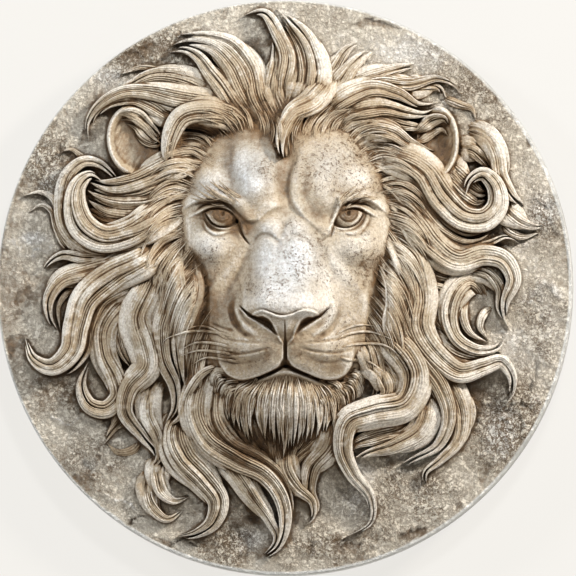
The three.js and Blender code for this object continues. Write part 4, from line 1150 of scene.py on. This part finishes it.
class Carving:
    """The surfaces of one piece, gathered as points and faces, with each point's place on the grid, how
    clean it is, and its extra stain and painted shade. Grime and rubbing scale how the hollows show as grime
    with painted shade and how the crests show as rubbing with painted highlight. Wear pales what stands far
    out, as wear with painted highlight, and lets the painted cool highlight show. Ground is 1 on the slab,
    whose stone is broken and flaked."""

    def __init__(self, name, shade_and_grime=1.0, crest_wear_and_highlight=1.0, raised_wear_and_highlight=0.0, ground=0.0):
        self.name = name
        self.shade_and_grime = shade_and_grime
        self.crest_wear_and_highlight = crest_wear_and_highlight
        self.raised_wear_and_highlight = raised_wear_and_highlight
        self.ground = ground
        self.points = []
        self.faces = []
        self.places = []
        self.clean = []
        self.stain_and_shade = []
        self.count = 0

    def add(self, column, row, rise, faces, clean=0.0, stain_and_shade=0.0):
        """Adds points given as columns, rows and rises, and faces that count from the first of them."""
        points = in_place(column, row, rise)
        self.points.append(points)
        self.places.append(np.stack([column.ravel(), row.ravel(), rise.ravel()], axis=-1))
        self.clean.append(np.broadcast_to(np.ravel(clean), len(points)).astype(float))
        self.stain_and_shade.append(np.broadcast_to(np.ravel(stain_and_shade), len(points)).astype(float))
        self.faces.append([np.asarray(some) + self.count for some in faces])
        self.count += len(points)

    def add_strand(self, column, row, rise):
        """Adds a closed strand: its top is a grid, its sides drop to the buried level, its ends are
        capped."""
        low = np.full((len(column), 1), BURIED)
        column = np.hstack([column[:, :1], column, column[:, -1:]])
        row = np.hstack([row[:, :1], row, row[:, -1:]])
        rise = np.hstack([low, rise, low])
        sections, around_it = column.shape
        index = np.arange(sections * around_it).reshape(sections, around_it)
        following = np.roll(index, -1, axis=1)
        quads = np.stack([index[:-1], index[1:], following[1:], following[:-1]], axis=-1).reshape(-1, 4)
        self.add(column, row, rise, [quads, index[0][None, :], index[-1][None, ::-1]], stain_and_shade=MANE_STAIN)

    def build(self, sheets, material):
        """Makes the mesh, works out what its material reads at each point, and hands the piece to the frame.
        A point is in a hollow where the softened relief lies above it, and there it is painted darker as
        grime and painted shade. It is on a crest where the relief lies below it, and there it is painted
        paler as rubbing and painted highlight."""
        points = np.vstack(self.points)
        column, row, rise = np.vstack(self.places).T
        faces = [some for group in self.faces for some in group]
        loops = np.concatenate([some.ravel() for some in faces])
        totals = np.concatenate([np.full(len(some), some.shape[1]) for some in faces])
        mesh = bpy.data.meshes.new(self.name)
        mesh.vertices.add(len(points))
        mesh.vertices.foreach_set("co", points.ravel())
        mesh.loops.add(len(loops))
        mesh.loops.foreach_set("vertex_index", loops)
        mesh.polygons.add(len(totals))
        mesh.polygons.foreach_set("loop_start", np.concatenate([[0], np.cumsum(totals)[:-1]]))
        mesh.update(calc_edges=True)
        mesh.validate()
        mesh.shade_smooth()
        depths = [read_sheet(sheet, column, row) - rise for sheet in sheets]
        hollow_shade_and_grime = sum(
            weight * np.clip(depth / full, least, most)
            for depth, (weight, full, least, most) in zip(depths, HOLLOW_TERMS)
        )
        stain_and_shade = np.concatenate(self.stain_and_shade) + summed(PAINTED_LIGHT_AND_STAINS, column, row)
        hollow_shade_and_grime = self.shade_and_grime * hollow_shade_and_grime + stain_and_shade
        pale_wear_and_highlight = sum(
            weight * np.clip(-depth / full, 0, 1)
            for depth, (weight, full) in zip(depths, CREST_TERMS)
        )
        pale_wear_and_highlight = self.crest_wear_and_highlight * pale_wear_and_highlight + self.raised_wear_and_highlight * np.clip(0.5 - depths[-1] / 5, 0, 1) - STAIN_DULLS * stain_and_shade
        cool_light_and_grey_ground = summed(COOL_HIGHLIGHT_AREAS, column, row) if self.raised_wear_and_highlight else np.zeros(len(points))
        values_of = {
            "hollow_shade_and_grime": hollow_shade_and_grime,
            "pale_wear_and_highlight": pale_wear_and_highlight,
            "clean": np.concatenate(self.clean),
            "worn": worn_share(column, row),
            "cool_light_and_grey_ground": cool_light_and_grey_ground + GROUND_COOLNESS * self.ground,
            "ground": np.full(len(points), self.ground),
        }
        for label, values in values_of.items():
            mesh.attributes.new(label, "FLOAT", "POINT").data.foreach_set("value", values.astype(np.float32))
        mesh.materials.append(material)
        piece = bpy.data.objects.new(self.name, mesh)
        bpy.context.scene.collection.objects.link(piece)
        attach(piece, BODY)
        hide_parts(NODE)


def face_piece(sheet):
    """The face: a fine square grid inside the dome's outline, with a wall round it and a flat back."""
    carving = Carving("lion_face", FACE_SHADE_AND_GRIME, 1.0, FACE_WEAR_AND_HIGHLIGHT)
    middle_column, middle_row, half_width, half_height = DOME
    columns = np.arange(middle_column - half_width, middle_column + half_width + 0.1, FACE_STEP)
    rows = np.arange(middle_row - half_height, middle_row + half_height + 0.1, FACE_STEP)
    column, row = np.meshgrid(columns, rows)
    rise = face_rise(column, row) + skin_wear(column, row)
    lay_on(sheet, column, row, rise)
    held = off_centre(DOME, column, row) < 0.995
    index = np.arange(column.size).reshape(column.shape)
    whole = held[:-1, :-1] & held[1:, :-1] & held[:-1, 1:] & held[1:, 1:]
    quads = np.stack([index[:-1, :-1], index[1:, :-1], index[1:, 1:], index[:-1, 1:]], axis=-1)[whole]
    edges = np.stack([quads, np.roll(quads, -1, axis=1)], axis=-1).reshape(-1, 2)
    key = np.sort(edges, axis=1) @ np.array([column.size, 1])
    _, first, times = np.unique(key, return_index=True, return_counts=True)
    border = edges[first[times == 1]]
    used, renumbered = np.unique(np.concatenate([quads.ravel(), border.ravel()]), return_inverse=True)
    quads = renumbered[:quads.size].reshape(-1, 4)
    border = renumbered[quads.size:].reshape(-1, 2)
    low_of = np.full(len(used), -1)
    low_points = np.unique(border)
    low_of[low_points] = len(used) + np.arange(len(low_points))
    middle = len(used) + len(low_points)
    wall = np.stack([border[:, 1], border[:, 0], low_of[border[:, 0]], low_of[border[:, 1]]], axis=-1)
    back = np.stack([low_of[border[:, 1]], low_of[border[:, 0]], np.full(len(border), middle)], axis=-1)
    flat_column, flat_row, flat_rise = (grid.ravel()[used] for grid in (column, row, rise))
    stain_and_shade = np.zeros(middle + 1)
    stain_and_shade[:len(used)] = eye_grime_and_shade(flat_column, flat_row)
    low_column, low_row = flat_column[low_points], flat_row[low_points]
    carving.add(
        np.concatenate([flat_column, low_column, [middle_column]]),
        np.concatenate([flat_row, low_row, [middle_row]]),
        np.concatenate([flat_rise, np.full(len(low_points) + 1, BURIED)]),
        [quads, wall, back],
        stain_and_shade=stain_and_shade,
    )
    return carving


def skin_wear(column, row):
    """Fine unevenness of the worn face: soft dents, a fine grain and scattered shallow pits."""
    pits = grain(column, row, 6.5, 91, 2)
    patches = ease(0.1, 0.7, grain(column, row, 38, 95, 2))
    return uneven(SKIN_DENTS, column, row) - PIT_DEPTH * patches * ease(0.40, 0.85, pits)


def eye_grime_and_shade(column, row):
    """Extra darkening in the eyes, in the grime's colour: painted shade over the ball, more over the iris
    and its ring, most as painted shade in the drilled pupil, and painted shadow under the upper lid.
    """
    stain_and_shade = np.zeros(column.shape)
    for name, (_, middle_row, _, pupil_column, pupil_row) in EYES.items():
        near = round_eye(name, column, row)
        x, y = column[near], row[near]
        opening = ease(-0.6, 0.8, inside(OPENINGS[name + "_eye"], x, y))
        from_pupil = np.hypot(x - pupil_column, y - pupil_row)
        iris = IRIS_STAIN * (1 - ease(8.6, 9.6, from_pupil))
        iris += RING_STAIN * bell((from_pupil - IRIS_RADIUS) / 1.4)
        pupil = PUPIL_SHADE * (1 - ease(2.0, 3.6, from_pupil))
        shaded = LID_SHADOW * (1 - ease(-9, 1, y - middle_row))
        stain_and_shade[near] = opening * (BALL_SHADE + iris + pupil + shaded)
    return stain_and_shade


def slab_piece(sheet):
    """The slab and the mound on it: rings round the middle from the front's centre out to the chamfer, down
    the drafted rim and in over the plain back."""
    carving = Carving("roundel_slab", SLAB_SHADE_AND_GRIME, ground=1.0)
    back_radius = SQUARES_ACROSS / 2
    rim_radius = back_radius - RIM_DRAFT * MM / SQUARE
    front_radius = rim_radius - RIM_CHAMFER * MM / SQUARE
    reach = np.concatenate([
        np.linspace(0, INNER_REACH, INNER_RINGS + 1)[1:],
        np.linspace(INNER_REACH, front_radius, SLAB_RINGS + 1)[1:],
    ])
    turn = np.linspace(0, 2 * np.pi, SLAB_SECTORS, endpoint=False)
    reach, turn = np.meshgrid(reach, turn, indexing="ij")
    column = CENTRE_COLUMN + reach * np.cos(turn)
    row = CENTRE_ROW + reach * np.sin(turn)
    rim_wear = 0.35 * grain(column, row, 12, 101, 2) * ease(front_radius - 4, front_radius, reach)
    rise = ground_rise(column, row) * (1 - ease(front_radius - 3, front_radius, reach)) + rim_wear
    rise += mound_rise(column, row)
    lay_on(sheet, column, row, rise)
    lower_right = np.cos(turn - math.radians(45))
    # The pale rim is wider and stronger towards the lower right.
    clean_edge = front_radius - 0.9 - 1.8 * ease(-0.3, 0.5, lower_right)
    clean = ease(clean_edge, clean_edge + 0.8, reach + 0.5 * grain(column, row, 8, 105, 2))
    clean *= 0.3 + 0.7 * ease(-0.9, -0.2, lower_right)
    rows_of_points = [(column, row, rise, clean)]
    back_rings = ((back_radius, -SLAB_THICKNESS), (0.6 * back_radius, -SLAB_THICKNESS))
    for radius, level in ((rim_radius, -RIM_CHAMFER), *back_rings):
        rows_of_points.append((
            CENTRE_COLUMN + radius * np.cos(turn[:1]),
            CENTRE_ROW + radius * np.sin(turn[:1]),
            np.full((1, SLAB_SECTORS), float(level)),
            np.ones((1, SLAB_SECTORS)),
        ))
    column, row, rise, clean = (np.vstack(some) for some in zip(*rows_of_points))
    rings = len(column)
    index = np.arange(rings * SLAB_SECTORS).reshape(rings, SLAB_SECTORS)
    following = np.roll(index, -1, axis=1)
    quads = np.stack([index[:-1], following[:-1], following[1:], index[1:]], axis=-1).reshape(-1, 4)
    front_pole, back_pole = rings * SLAB_SECTORS, rings * SLAB_SECTORS + 1
    front = np.stack([index[0], np.full(SLAB_SECTORS, front_pole), following[0]], axis=-1)
    back = np.stack([index[-1], following[-1], np.full(SLAB_SECTORS, back_pole)], axis=-1)
    centre_rise = float(mound_rise(np.array([CENTRE_COLUMN]), np.array([CENTRE_ROW]))[0])
    carving.add(
        np.concatenate([column.ravel(), [CENTRE_COLUMN, CENTRE_COLUMN]]),
        np.concatenate([row.ravel(), [CENTRE_ROW, CENTRE_ROW]]),
        np.concatenate([rise.ravel(), [centre_rise, -SLAB_THICKNESS]]),
        [quads, front, back],
        np.concatenate([clean.ravel(), [0, 1]]),
    )
    return carving


def mane_group(line):
    """The group that a lock belongs to, by where its middle lies round the head."""
    column, row = line[len(line) // 2]
    if row < 165:
        return "mane_crown"
    if row > 395:
        return "mane_throat"
    return "mane_left" if column < MIDDLE_OF_FACE else "mane_right"


def fur(count, layer, width, roots, tips, bow, seed):
    """Lines of fine locks whose roots lie along one line and whose tips lie along another, each bowed
    sideways by a share of its length, with a little seeded unevenness."""
    generator = np.random.default_rng(seed)
    root_course, tip_course = course_through(roots, 2), course_through(tips, 2)
    locks = []
    for i in range(count):
        share = (i + generator.uniform(-0.3, 0.3)) / (count - 1)
        share = min(1, max(0, share))
        root = root_course[int(share * (len(root_course) - 1))] + generator.uniform(-3.5, 3.5, 2)
        tip = tip_course[int(share * (len(tip_course) - 1))] + generator.uniform(-4, 4, 2)
        run = tip - root
        aside = np.array([run[1], -run[0]]) * (bow + generator.uniform(-FUR_BOW_SPREAD, FUR_BOW_SPREAD))
        middle = root + 0.35 * run + aside
        later = root + 0.72 * run + 0.8 * aside
        own_layer = layer + generator.uniform(-0.25, 0.25)
        locks.append((own_layer, width * generator.uniform(0.8, 1.2), (root, middle, later, tip)))
    return locks


def beard_locks():
    """The beard's locks: roots along the line under the lips and tips along the hem, bowed outwards so that
    the tips turn in, broad short ones first and then finer ones over them."""
    generator = np.random.default_rng(BEARD_SEED)
    roots = course_through(BEARD_ROOTS, 1.0)
    hem = course_through(BEARD_TIPS, 1.0)
    locks = []
    for count, layer, width, reach in BEARD_ROWS:
        for i in range(count):
            share = min(1, max(0, (i + generator.uniform(-0.3, 0.3)) / (count - 1)))
            across = 2 * share - 1
            root = roots[int(share * (len(roots) - 1))] + generator.uniform(-1.2, 1.2, 2)
            tip = hem[int(share * (len(hem) - 1))] + generator.uniform(-2.0, 2.0, 2)
            tip = root + (tip - root) * reach * generator.uniform(0.86, 1.04)
            run = tip - root
            bow = BEARD_BOW * across + generator.uniform(-BEARD_BOW_SPREAD, BEARD_BOW_SPREAD)
            aside = np.array([-run[1], run[0]]) * bow
            own_layer = layer + generator.uniform(-0.3, 0.3)
            middle = root + 0.35 * run - aside
            later = root + 0.72 * run - 0.75 * aside
            locks.append((own_layer, width, (root, middle, later, tip)))
    return locks


def ear_surface(name):
    """One ear: a bowl whose floor rises with the distance from its middle to the power of 1.7, with a lip
    that fades on the side where the cup opens, and short hair running out over it. Returns the columns,
    rows, rises and faces."""
    middle_column, middle_row, half_width, half_height, tilt, open_side = EARS[name]
    reach = np.linspace(0, 1, EAR_RINGS + 1)[1:]
    turn = np.linspace(0, 2 * np.pi, EAR_SECTORS, endpoint=False)
    reach, turn = np.meshgrid(reach, turn, indexing="ij")
    lean = math.radians(tilt)
    across, down = half_width * reach * np.cos(turn), half_height * reach * np.sin(turn)
    column = middle_column + across * math.cos(lean) - down * math.sin(lean)
    row = middle_row + across * math.sin(lean) + down * math.cos(lean)
    opened = 1 - ease(0.9, 1.9, np.abs(np.angle(np.exp(1j * (turn - math.radians(open_side))))))
    hair = 0.25 * grain(2.2 * column + 1.2 * row, 0.35 * row - 0.5 * column, 6, 111, 2)
    rise = carrier_rise(column, row) + EAR_FLOOR + EAR_RISE * reach ** EAR_CURVE * (1 - opened)
    lip = EAR_LIP * bell((reach - EAR_LIP_PLACE) / EAR_LIP_WIDTH) * (1 - opened)
    rise += lip + hair * ease(0.25, 0.6, reach)
    rise -= EAR_DROP * ease(0.93, 1, reach)
    rings, sectors = column.shape
    column = np.vstack([column, column[-1:]])
    row = np.vstack([row, row[-1:]])
    rise = np.vstack([rise, np.full((1, sectors), BURIED)])
    index = np.arange((rings + 1) * sectors).reshape(rings + 1, sectors)
    following = np.roll(index, -1, axis=1)
    quads = np.stack([index[:-1], following[:-1], following[1:], index[1:]], axis=-1).reshape(-1, 4)
    pole = index.size
    front = np.stack([index[0], np.full(sectors, pole), following[0]], axis=-1)
    column = np.concatenate([column.ravel(), [middle_column]])
    row = np.concatenate([row.ravel(), [middle_row]])
    rise = np.concatenate([rise.ravel(), [rise[0].mean()]])
    return column, row, rise, [quads, front, index[-1][None, ::-1]]


class Signal:
    """A number that a node gives, with arithmetic that adds Math nodes."""

    def __init__(self, finish, socket):
        self.finish = finish
        self.socket = socket

    def worked(self, operation, first, second):
        """The result of one Math node."""
        node = self.finish.add("ShaderNodeMath", {"operation": operation}, {0: first, 1: second})
        return Signal(self.finish, node.outputs[0])

    def __add__(self, other):
        return self.worked("ADD", self, other)

    def __radd__(self, other):
        return self.worked("ADD", other, self)

    def __sub__(self, other):
        return self.worked("SUBTRACT", self, other)

    def __rsub__(self, other):
        return self.worked("SUBTRACT", other, self)

    def __mul__(self, other):
        return self.worked("MULTIPLY", self, other)

    def __rmul__(self, other):
        return self.worked("MULTIPLY", other, self)

    def stepped(self, low, high):
        """0 below low, 1 above high and smooth between them."""
        values = {"Value": self, "From Min": low, "From Max": high, "To Min": 0.0, "To Max": 1.0}
        node = self.finish.add("ShaderNodeMapRange", {"interpolation_type": "SMOOTHSTEP"}, values)
        return Signal(self.finish, node.outputs[0])


# The Mix node's colour sockets: its factor, its two colours and its result.
MIX_SOCKETS = (0, 6, 7)
MIX_RESULT = 2


class Finish:
    """A material and the nodes that make it up."""

    def __init__(self, name):
        self.material = bpy.data.materials.new(name)
        self.material.use_nodes = True
        self.tree = self.material.node_tree
        self.tree.nodes.clear()

    def add(self, kind, settings=None, values=None):
        """Adds a node, first with its settings and then with the numbers or links of its sockets."""
        node = self.tree.nodes.new(kind)
        for name, setting in (settings or {}).items():
            setattr(node, name, setting)
        for name, value in (values or {}).items():
            if isinstance(value, Signal):
                value = value.socket
            if isinstance(value, bpy.types.NodeSocket):
                self.tree.links.new(value, node.inputs[name])
            else:
                node.inputs[name].default_value = value
        return node

    def attribute(self, name):
        """A value that the mesh holds at each of its points."""
        return Signal(self, self.add("ShaderNodeAttribute", {"attribute_name": name}).outputs["Fac"])

    def noise(self, place, scale, detail, roughness):
        """Noise from 0 to 1 over the object's own coordinates."""
        values = {"Vector": place, "Scale": scale, "Detail": detail, "Roughness": roughness}
        return Signal(self, self.add("ShaderNodeTexNoise", {}, values).outputs["Fac"])

    def mixed(self, share, first, second, blend="MIX"):
        """A colour between two others, by a share."""
        settings = {"data_type": "RGBA", "blend_type": blend, "clamp_factor": True}
        node = self.add("ShaderNodeMix", settings, dict(zip(MIX_SOCKETS, (share, first, second))))
        return node.outputs[MIX_RESULT]


def aged_stone():
    """Cream stone: brown grime with painted shade in the hollows, crests rubbed pale with painted highlight,
    blotches, speckled pits and a clean pale rim. It is greyer and cooler as painted cool highlight on the
    face and as the ground's own tone. On the ground it is flaked and crossed by thin cracks."""
    finish = Finish("aged_stone")
    place = finish.add("ShaderNodeTexCoord").outputs["Object"]
    labels = ("hollow_shade_and_grime", "pale_wear_and_highlight", "clean", "worn", "cool_light_and_grey_ground", "ground")
    hollow_shade_and_grime, pale_wear_and_highlight, clean, worn, cool_light_and_grey_ground, ground = (finish.attribute(label) for label in labels)
    blotches, clouds, grime_reach, flakes, crumbs, broken, grit, specks = (
        finish.noise(place, *settings) for settings in NOISES.values()
    )
    from_crack = broken - 0.5
    chips = (from_crack * from_crack).stepped(0.0, 0.0030)

    # The bare stone, in warm and pale blotches with grey clouds. It is greyer and cooler as painted cool
    # highlight on the face and as the ground's own tone, and paler on the ground.
    stone = finish.mixed(blotches.stepped(0.36, 0.66), WARM_STONE, PALE_STONE)
    stone = finish.mixed(clouds.stepped(0.42, 0.68) * 0.5, stone, GREY_STONE)
    stone = finish.mixed(cool_light_and_grey_ground * 0.55, stone, COOL_LIGHT_AND_GREY_STONE)
    stone = finish.mixed(ground * 0.70, stone, GROUND_STONE)

    # Brown grime with painted shade in the hollows, and crests rubbed pale with painted highlight, both
    # broken up by the noises.
    shade_and_grime = hollow_shade_and_grime * 1.15 + (grime_reach - 0.5) * 0.5 + (crumbs - 0.5) * (worn * 1.2 + 0.6) - pale_wear_and_highlight * 0.25
    brown_grime_and_shade = finish.mixed(crumbs.stepped(0.35, 0.65), DARK_GRIME_AND_SHADE, LIGHT_GRIME_AND_SHADE)
    stone = finish.mixed(shade_and_grime.stepped(0.0, 0.8) * 0.95, stone, brown_grime_and_shade)
    speckle = ((specks - 0.5) * 1.1 + (grit - 0.5) * 0.9) * (1 - ground * 0.35)
    rubbed_and_lit = pale_wear_and_highlight + speckle + (clouds - 0.5) * (cool_light_and_grey_ground * 1.3 + 0.5)
    stone = finish.mixed(rubbed_and_lit.stepped(0.15, 0.85) * 0.85, stone, RUBBED_AND_HIGHLIT_STONE)

    # Fine grit, pits in the worn patches and cracks in the ground. Then the warm cast, and the cool cast
    # painted as cool light on the face and as the greyer tone of the ground. Then the clean rim.
    stone = finish.mixed(grit.stepped(0.44, 0.62) * (0.42 - ground * 0.16), stone, LIGHT_GRIME_AND_SHADE)
    patches = (worn + (grime_reach - 0.5) * 1.5).stepped(0.15, 0.8)
    pits = (specks + (crumbs - 0.5) * 0.4).stepped(0.54, 0.64) * patches
    stone = finish.mixed(pits * 0.75, stone, PIT_GRIME)
    rough = ground * (worn * 0.80 + 0.32)
    stone = finish.mixed((1 - chips) * rough * 0.8, stone, CHIPPED_STONE)
    stone = finish.mixed(1.0, stone, finish.mixed(cool_light_and_grey_ground, WARM_CAST, COOL_LIGHT_AND_GREY_CAST), "MULTIPLY")
    stone = finish.mixed(clean, stone, CLEAN_PLASTER)

    # The fine relief that the bump shows.
    height = crumbs * (worn + 0.40) + specks * (worn * 0.3 + 0.35) + grit * 0.55 - pits * 0.6 + clouds * 0.3
    height = height * (ground * 1.4 + 1.0) + chips * rough * 3.2 + flakes * ground * (worn * 3.6 + 5.2)
    bump = finish.add("ShaderNodeBump", {}, {
        "Strength": BUMP_STRENGTH,
        "Distance": BUMP_DISTANCE,
        "Height": height,
    })
    surface = finish.add("ShaderNodeBsdfPrincipled", {}, {
        "Base Color": stone,
        "Roughness": STONE_ROUGHNESS,
        "Specular IOR Level": STONE_SHINE,
        "Normal": bump.outputs["Normal"],
    })
    finish.add("ShaderNodeOutputMaterial", {}, {"Surface": surface.outputs["BSDF"]})
    return finish.material


def backdrop(name, corners):
    """A flat stage surface, mostly lit from within so that it stays even, and seen from its front only."""
    finish = Finish(name)
    glow = finish.add("ShaderNodeEmission", {}, {"Color": WALL_COLOUR, "Strength": WALL_GLOW})
    paint = finish.add("ShaderNodeBsdfDiffuse", {}, {"Color": WALL_PAINT})
    both = finish.add("ShaderNodeAddShader", {}, {0: glow.outputs["Emission"], 1: paint.outputs["BSDF"]})
    clear = finish.add("ShaderNodeBsdfTransparent")
    behind = finish.add("ShaderNodeNewGeometry").outputs["Backfacing"]
    surface = finish.add("ShaderNodeMixShader", {}, {
        0: behind,
        1: both.outputs["Shader"],
        2: clear.outputs["BSDF"],
    })
    finish.add("ShaderNodeOutputMaterial", {}, {"Surface": surface.outputs["Shader"]})
    mesh = bpy.data.meshes.new(name)
    mesh.from_pydata(corners, [], [tuple(range(len(corners)))])
    mesh.materials.append(finish.material)
    plate = bpy.data.objects.new(name, mesh)
    bpy.context.scene.collection.objects.link(plate)


def lamp(name, colour, power, place):
    """A square area lamp that points at the middle of the back."""
    light = bpy.data.lights.new(name, "AREA")
    light.color = colour
    light.energy = power
    light.size = LAMP_SIZE
    holder = bpy.data.objects.new(name, light)
    holder.location = place
    holder.rotation_euler = (-Vector(place)).to_track_quat("-Z", "Y").to_euler()
    bpy.context.scene.collection.objects.link(holder)


def front_camera():
    """A long lens square on to the disc, a little low and to the right, framed so that the disc nearly fills
    the picture's width."""
    lens = bpy.data.cameras.new("camera")
    lens.lens = LENS
    lens.sensor_width = SENSOR_WIDTH
    lens.clip_end = CLIP_END
    holder = bpy.data.objects.new("camera", lens)
    distance = PICTURE_WIDTH * SQUARE * LENS / SENSOR_WIDTH
    aim_column, aim_row = PICTURE_WIDTH / 2 - CENTRE_COLUMN, PICTURE_WIDTH / 2 - CENTRE_ROW
    target = Vector((aim_column * SQUARE, AIM_DEPTH, -aim_row * SQUARE))
    right, low = math.sin(math.radians(CAMERA_RIGHT)), math.sin(math.radians(CAMERA_LOW))
    way = Vector((right, -1, -low)).normalized()
    holder.location = target + distance * way
    holder.rotation_euler = (-way).to_track_quat("-Z", "Y").to_euler()
    bpy.context.scene.collection.objects.link(holder)
    bpy.context.scene.camera = holder


def resting_on(relief):
    """The rise of a relief at any place, for what lies on it."""
    return lambda column, row: read_sheet(relief, column, row)


front_camera()

sheet = mound_rise(SHEET_COLUMNS, SHEET_ROWS)
carvings = {"roundel_slab": slab_piece(sheet), "lion_face": face_piece(sheet)}
on_face = resting_on(sheet.copy())
on_chin = resting_on(softened(sheet, UNDER_BEARD))


def under_beard(column, row):
    """What the beard lies on: the softened face, and below the chin a height that stands clear of it."""
    return on_chin(column, row) + BEARD_OVERHANG * ease(*OVERHANG_ROWS, row)


def carve(group, layer, width, line, seed, ground=carrier_rise, **settings):
    """Sweeps one lock and adds it to its group and to the sheet."""
    carving = carvings.setdefault(group, Carving(group))
    for column, row, rise in lock(line, layer, width, seed, ground, **settings):
        lay_on(sheet, column, row, rise)
        carving.add_strand(column, row, rise)


def carve_fans(fans, first_fan, first_seed, ground, settings):
    """Sweeps the locks of some fans of fur."""
    for fan, (count, layer, width, roots, tips, bow) in enumerate(fans.values()):
        locks = fur(count, layer, width, roots, tips, bow, first_fan + fan)
        for seed, (own_layer, own_width, line) in enumerate(locks, first_seed + SEEDS_A_FAN * fan):
            carve("hairline_fur", own_layer, own_width, line, seed, ground, **settings)


for seed, (name, (layer, width, line, *own_taper)) in enumerate(LOCKS.items()):
    taper = own_taper[0] if own_taper else LOCK_TAPER
    if width >= BROAD_LOCK:
        carve("under_mane", max(0.3, 0.75 * layer - 1.0), width + UNDER_MANE_OVERLAP, line,
              FIRST_SEEDS["under_mane"] + seed, **UNDER_MANE)
    carve(mane_group(line), layer, width, line, seed, taper=taper, tip=HIGH_TIPS.get(name, TIP_RISE))
on_mane = resting_on(softened(np.maximum(sheet, softened(sheet, FUR_FILL)), UNDER_FUR))
carve_fans(FURS, 0, FIRST_SEEDS["fur"], on_mane, FUR)
carve_fans(BROWS, BROW_FAN_SEED, FIRST_SEEDS["brow"], on_face, BROW_HAIR)
for seed, (layer, width, line) in enumerate(beard_locks(), FIRST_SEEDS["beard"]):
    carve("beard", layer, width, line, seed, under_beard, **BEARD_HAIR)
for name in EARS:
    column, row, rise, faces = ear_surface(name)
    carvings.setdefault("ears", Carving("ears")).add(column, row, rise, faces)
    lay_on(sheet, column[:, None], row[:, None], rise[:, None])
on_ears = resting_on(softened(sheet, UNDER_TUFTS))
for seed, (layer, width, line) in enumerate(EAR_TUFTS, FIRST_SEEDS["tuft"]):
    carve("ears", layer, width, line, seed, on_ears, **TUFT)
on_muzzle = resting_on(softened(sheet, UNDER_WHISKERS))
carvings["whiskers"] = Carving("whiskers", WHISKER_SHADE_AND_GRIME, WHISKER_RUBBING_AND_HIGHLIGHT)
for seed, line in enumerate(WHISKERS, FIRST_SEEDS["whisker"]):
    carve("whiskers", WHISKER_LAYER, WHISKER_WIDTH, line, seed, on_muzzle, **WHISKER)

sheets = [softened(sheet, reach) for reach in HOLLOW_REACHES]
stone = aged_stone()
for carving in carvings.values():
    carving.build(sheets, stone)

bpy.context.scene.view_settings.view_transform = "Standard"
bpy.context.scene.view_settings.look = "Medium High Contrast"
world = bpy.data.worlds.new("studio")
world.use_nodes = True
sky = world.node_tree.nodes["Background"].inputs
sky["Color"].default_value = SKY_COLOUR
sky["Strength"].default_value = SKY_STRENGTH
bpy.context.scene.world = world
for name, (colour, power, place) in LAMPS.items():
    lamp(name, colour, power, place)
low_left = (-STUDIO_REACH, WALL_PLACE, FLOOR_LEVEL)
low_right = (STUDIO_REACH, WALL_PLACE, FLOOR_LEVEL)
high_left = (-STUDIO_REACH, WALL_PLACE, WALL_TOP)
high_right = (STUDIO_REACH, WALL_PLACE, WALL_TOP)
near_left = (-STUDIO_REACH, -STUDIO_REACH, FLOOR_LEVEL)
near_right = (STUDIO_REACH, -STUDIO_REACH, FLOOR_LEVEL)
backdrop("studio_wall", [low_left, low_right, high_right, high_left])
backdrop("studio_floor", [near_left, near_right, low_right, low_left])
